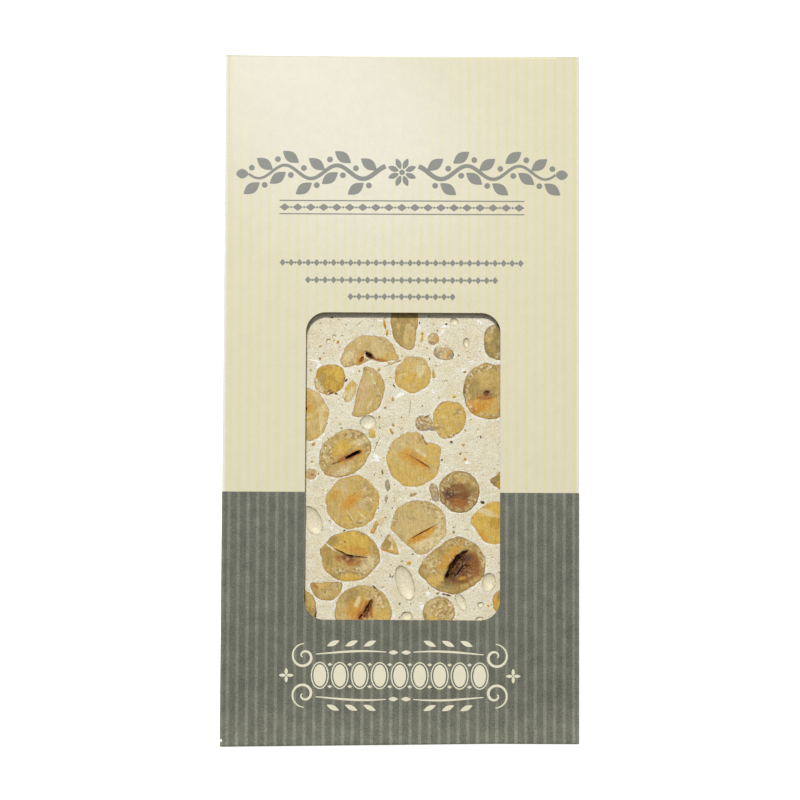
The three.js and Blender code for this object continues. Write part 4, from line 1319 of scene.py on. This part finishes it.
frost_mask = multiply(tree, frost_mask, fade(tree, frost_strength, 0.02, 0.2))
colour = blend_colours(tree, frost_mask, colour, frosting)
ring_shape = multiply(tree, fade(tree, rim, 0.25, 0.55), fade(tree, rim, 0.9, 1.7, 1.0, 0.0))
ring_mask = multiply(tree, ring_shape, ring_strength)
ring_mask = multiply(tree, ring_mask, fade(tree, flakes, 0.36, 0.5))
colour = blend_colours(tree, ring_mask, colour, frosting)
broken = fade(tree, flakes, 0.42, 0.58, 0.06, 1.0)
off_rim = maths(tree, "ADD", rim, swing(tree, grain, 0.4))
skin_shape = fade(tree, off_rim, 0.05, 0.4, 0.72, 0.0)
skin_mask = multiply(tree, multiply(tree, skin_strength, broken), skin_shape)
colour = blend_colours(tree, skin_mask, colour, SKIN)
warm_rim = multiply(tree, fade(tree, off_rim, 0.1, 0.8, 0.28, 0.0), fade(tree, patches, 0.44, 0.58))
colour = blend_colours(tree, warm_rim, colour, ROASTED_RIM)
# Deep in a hollow the flesh turns to torn brown and painted shade, the darker the deeper it lies.
torn_and_shade = blend_colours(tree, fade(tree, flakes, 0.44, 0.58), TORN_AND_SHADE_DARK, TORN_AND_SHADE_PALE)
colour = blend_colours(tree, fade(tree, below, 0.3, 1.2, 0.0, 0.9), colour, torn_and_shade)
feed(tree, shader, {
    "Base Color": colour,
    "Roughness": fade(tree, flakes, 0.35, 0.65, 0.36, 0.58),
    "Specular IOR Level": 0.35,
    "Subsurface Weight": 0.06,
    "Subsurface Radius": (1.0, 0.6, 0.25),
    "Subsurface Scale": 0.6 * MM,
    "Normal": bump(tree, maths(tree, "ADD", grain, multiply(tree, flakes, 1.2)), 0.5, 0.16 * MM),
})

only(all_nuts)
bpy.ops.object.mode_set(mode="EDIT")
bpy.ops.mesh.select_all(action="SELECT")
bpy.ops.mesh.separate(type="LOOSE")
done()
loose = sorted(bpy.context.selected_objects, key=lambda piece: -len(piece.data.vertices))
for scrap in loose[len(nut_names):]:
    remove(scrap)
free = set(nut_names)
top_mm = slice_high.z / MM
for nut in loose[:len(nut_names)]:
    places = mesh_places(nut)
    centre = (places.min(axis=0) + places.max(axis=0)) / 2
    distances = {}
    for name in free:
        low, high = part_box(name)
        distances[name] = ((low + high) / 2 / MM - Vector(centre)).length
    name = min(distances, key=distances.get)
    free.remove(name)
    flesh, second, pale_ring, skin, marks = NUT_LOOKS[name]
    nut.name = name + "_cut"
    ring = outlines[name]
    seed = float(len(free))
    rim_distance = gap_to(places, ring)
    warp = 0.3 * cloudy(places[:, :2], 1.5, seed) + 0.16 * cloudy(places[:, :2], 0.5, seed + 0.3)
    tones, seconds = even_tone(flesh, len(places)), even_tone(second, len(places))
    frost = np.zeros(len(places))
    for mark, x, y, long, wide, turn, soft in marks:
        out = oval_distance(places, x, y, long, wide, turn) + warp * min(1.4, 0.5 + soft)
        cover = smooth((1 + soft / 2 - out) / max(soft, 0.08))[:, None]
        if mark == "frost":
            frost = np.maximum(frost, cover[:, 0])
            continue
        frost *= 1 - 0.5 * cover[:, 0]
        mark_colour = even_tone(mark, 1)
        tones = tones * (1 - cover) + mark_colour * cover
        seconds = seconds * (1 - 0.8 * cover) + mark_colour * 0.8 * cover
    store(nut, "tone", tones)
    store(nut, "tone_two", seconds)
    store(nut, "rim", rim_distance)
    store(nut, "below", np.maximum(0, top_mm - places[:, 2]))
    store(nut, "frost", frost)
    store(nut, "pale_ring", np.full(len(places), pale_ring))
    store(nut, "skin", np.full(len(places), skin))
    at_surface = places[:, 2] > top_mm - SURFACE_DEPTH
    lift = NUT_LIFT * noise.noise(Vector((seed, 0.5, 0.5)))
    edge_drop = NUT_EDGE_DROP * smooth(1 - rim_distance / NUT_EDGE_WIDTH)
    places[:, 2] += np.where(at_surface, lift - edge_drop, 0.0)
    move_places(nut, places)
    give_material(nut, nut_flesh)
    shade_round(nut, 40)
    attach(nut, "root")
    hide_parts(name)


# Chips. Splinters and flakes of skin and flesh that broke off the nuts while the nougat was stirred. The saw
# cut through them too, so they lie almost flush in the face.
CHIP_HALF_THICKNESS = 0.1
SPECK_COUNT, SPECK_SMALLEST, SPECK_LARGEST = 170, 0.1, 0.3
SPECK_TONES = ("olive", "straw", "amber", "gold", "moss", "brown", "umber", "mauve")

# Each chip: its tone, place, half lengths and turn.
CHIPS = (
    ("orange", -4.2, 18.9, 1.3, 0.28, 100), ("amber", -3.6, 16.8, 0.8, 0.24, 80),
    ("straw", -2.2, 9.0, 1.5, 0.25, 22), ("olive", -0.5, 9.6, 0.8, 0.22, 20),
    ("gold", -7.2, -8.9, 0.8, 1.2, 10), ("olive", 16.1, 6.9, 0.45, 0.3, 30),
    ("lemon", 13.4, 0.6, 0.5, 0.4, 0), ("olive", 13.4, -33.6, 0.35, 0.5, 10),
    ("gold", -5.6, 7.4, 0.5, 0.4, 60), ("olive", -4.4, -47.5, 0.4, 0.16, 20),
    ("orange", -16.1, 14.3, 0.55, 0.3, 60), ("amber", -17.0, 14.8, 0.25, 0.2, 0),
    ("amber", -2.1, -0.1, 0.32, 0.5, 0), ("amber", -5.4, -4.8, 0.3, 0.22, 20),
    ("umber", -5.5, -4.5, 0.16, 0.16, 0), ("orange", -1.9, -6.8, 0.32, 0.3, 0),
    ("amber", -2.5, -8.1, 0.32, 0.7, 25), ("orange", -2.1, -8.6, 0.3, 0.4, 40),
    ("amber", -22.0, -11.5, 0.55, 0.35, 20), ("amber", 15.8, -11.6, 0.4, 0.3, 10),
    ("orange", 16.3, -15.2, 0.3, 0.3, 0), ("amber", -2.4, -41.9, 0.2, 0.2, 0),
    ("rust", -20.6, 10.1, 0.24, 0.3, 0), ("rust", -19.6, 11.5, 0.2, 0.2, 0),
    ("umber", -1.8, 3.3, 0.5, 0.16, 125), ("umber", -13.9, 4.6, 0.5, 0.26, 60),
    ("brown", -17.6, 1.5, 0.7, 0.2, 30), ("umber", -16.4, 1.2, 0.35, 0.2, 0),
    ("umber", 12.8, -10.9, 0.28, 0.34, 0), ("brown", 10.4, -15.4, 0.3, 0.24, 0),
    ("umber", 20.7, -26.1, 0.55, 0.35, -20), ("umber", -6.4, -47.6, 0.75, 0.2, -40),
    ("umber", -2.5, -44.6, 0.55, 0.12, -60), ("umber", -1.9, -44.9, 0.45, 0.12, 60),
    ("umber", -0.1, -51.7, 0.28, 0.2, 20), ("brown", 11.9, -49.4, 0.9, 0.22, -15),
    ("umber", 10.9, -49.2, 0.3, 0.24, 0), ("umber", 3.2, -39.2, 0.25, 0.18, 0),
    ("umber", 0.4, -41.0, 0.35, 0.1, 20), ("straw", -6.2, -31.9, 1.0, 0.6, 70),
    ("amber", -6.9, -33.4, 0.7, 0.5, 60), ("light", -4.9, -31.0, 1.0, 0.6, 80),
    ("grey", -3.3, -22.0, 0.6, 1.4, 8), ("mauve", -3.6, -25.4, 0.4, 0.8, -10),
    ("moss", -4.6, -18.6, 0.3, 0.6, 0), ("olive", 3.2, -24.2, 0.9, 0.35, 20),
    ("straw", 8.2, 6.3, 0.4, 1.2, 12), ("gold", 5.2, 15.2, 0.32, 1.0, -12),
    ("amber", 5.3, 16.6, 0.3, 0.5, 0), ("light", -14.2, 0.9, 0.5, 1.1, -10),
    ("brown", -6.1, -11.6, 2.2, 0.07, 68), ("olive", 2.3, -1.8, 1.8, 0.07, 84),
    ("straw", -10.4, 19.3, 1.6, 0.07, 40), ("umber", -17.6, 20.6, 0.4, 0.2, 0),
    ("umber", -18.9, -48.8, 0.14, 0.3, 0), ("brown", -25.0, -17.6, 0.5, 0.5, 0),
    ("amber", 9.6, 0.4, 0.2, 0.3, 0), ("umber", -14.0, -36.2, 0.2, 0.16, 0),
    ("amber", 2.2, -41.4, 0.5, 0.4, 0), ("grey", 7.6, -7.4, 0.9, 0.7, -30),
    ("brown", 6.6, -4.4, 0.9, 0.14, 30), ("umber", 4.6, -7.4, 0.5, 0.12, 60),
    ("straw", -22.4, -16.0, 0.3, 0.3, 0), ("gold", -25.0, -37.8, 0.5, 0.3, 20),
    ("lemon", 9.5, -46.8, 0.3, 0.3, 0),
)


def flake(tone, x, y, long, wide, turn, detail):
    """A flat broken bit, sunk half into the face, that carries its own tone."""
    bpy.ops.mesh.primitive_ico_sphere_add(subdivisions=detail, radius=1)
    bit = bpy.context.object
    for vertex in bit.data.vertices:
        vertex.co *= 1 + 0.5 * noise.noise(vertex.co * 1.4 + Vector((x, y, 0)))
    bit.scale = (long * MM, wide * MM, CHIP_HALF_THICKNESS * MM)
    bit.rotation_euler.z = math.radians(turn)
    bit.location = (x * MM, y * MM, slice_high.z)
    settle(bit)
    for name in ("tone", "tone_two"):
        store(bit, name, even_tone(tone, len(bit.data.vertices)))
    return bit


bits = [flake(*chip, 3) for chip in CHIPS]
taken = pits + bubble_places + [(x, y, max(long, wide)) for tone, x, y, long, wide, turn in CHIPS]
for x, y, radius in scatter(draw, SPECK_COUNT, SPECK_SMALLEST, SPECK_LARGEST, 0.0, taken):
    tone = SPECK_TONES[int(draw.random() ** 1.6 * len(SPECK_TONES))]
    bits.append(flake(tone, x, y, radius * (1 + draw.random()), radius, 360 * draw.random(), 1))
chips = joined(bits, "nut_chips")
store(chips, "rim", np.full(len(chips.data.vertices), FAR_OFF))
chips.data.materials.append(nut_flesh)
shade_round(chips, 60)
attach(chips, "root")
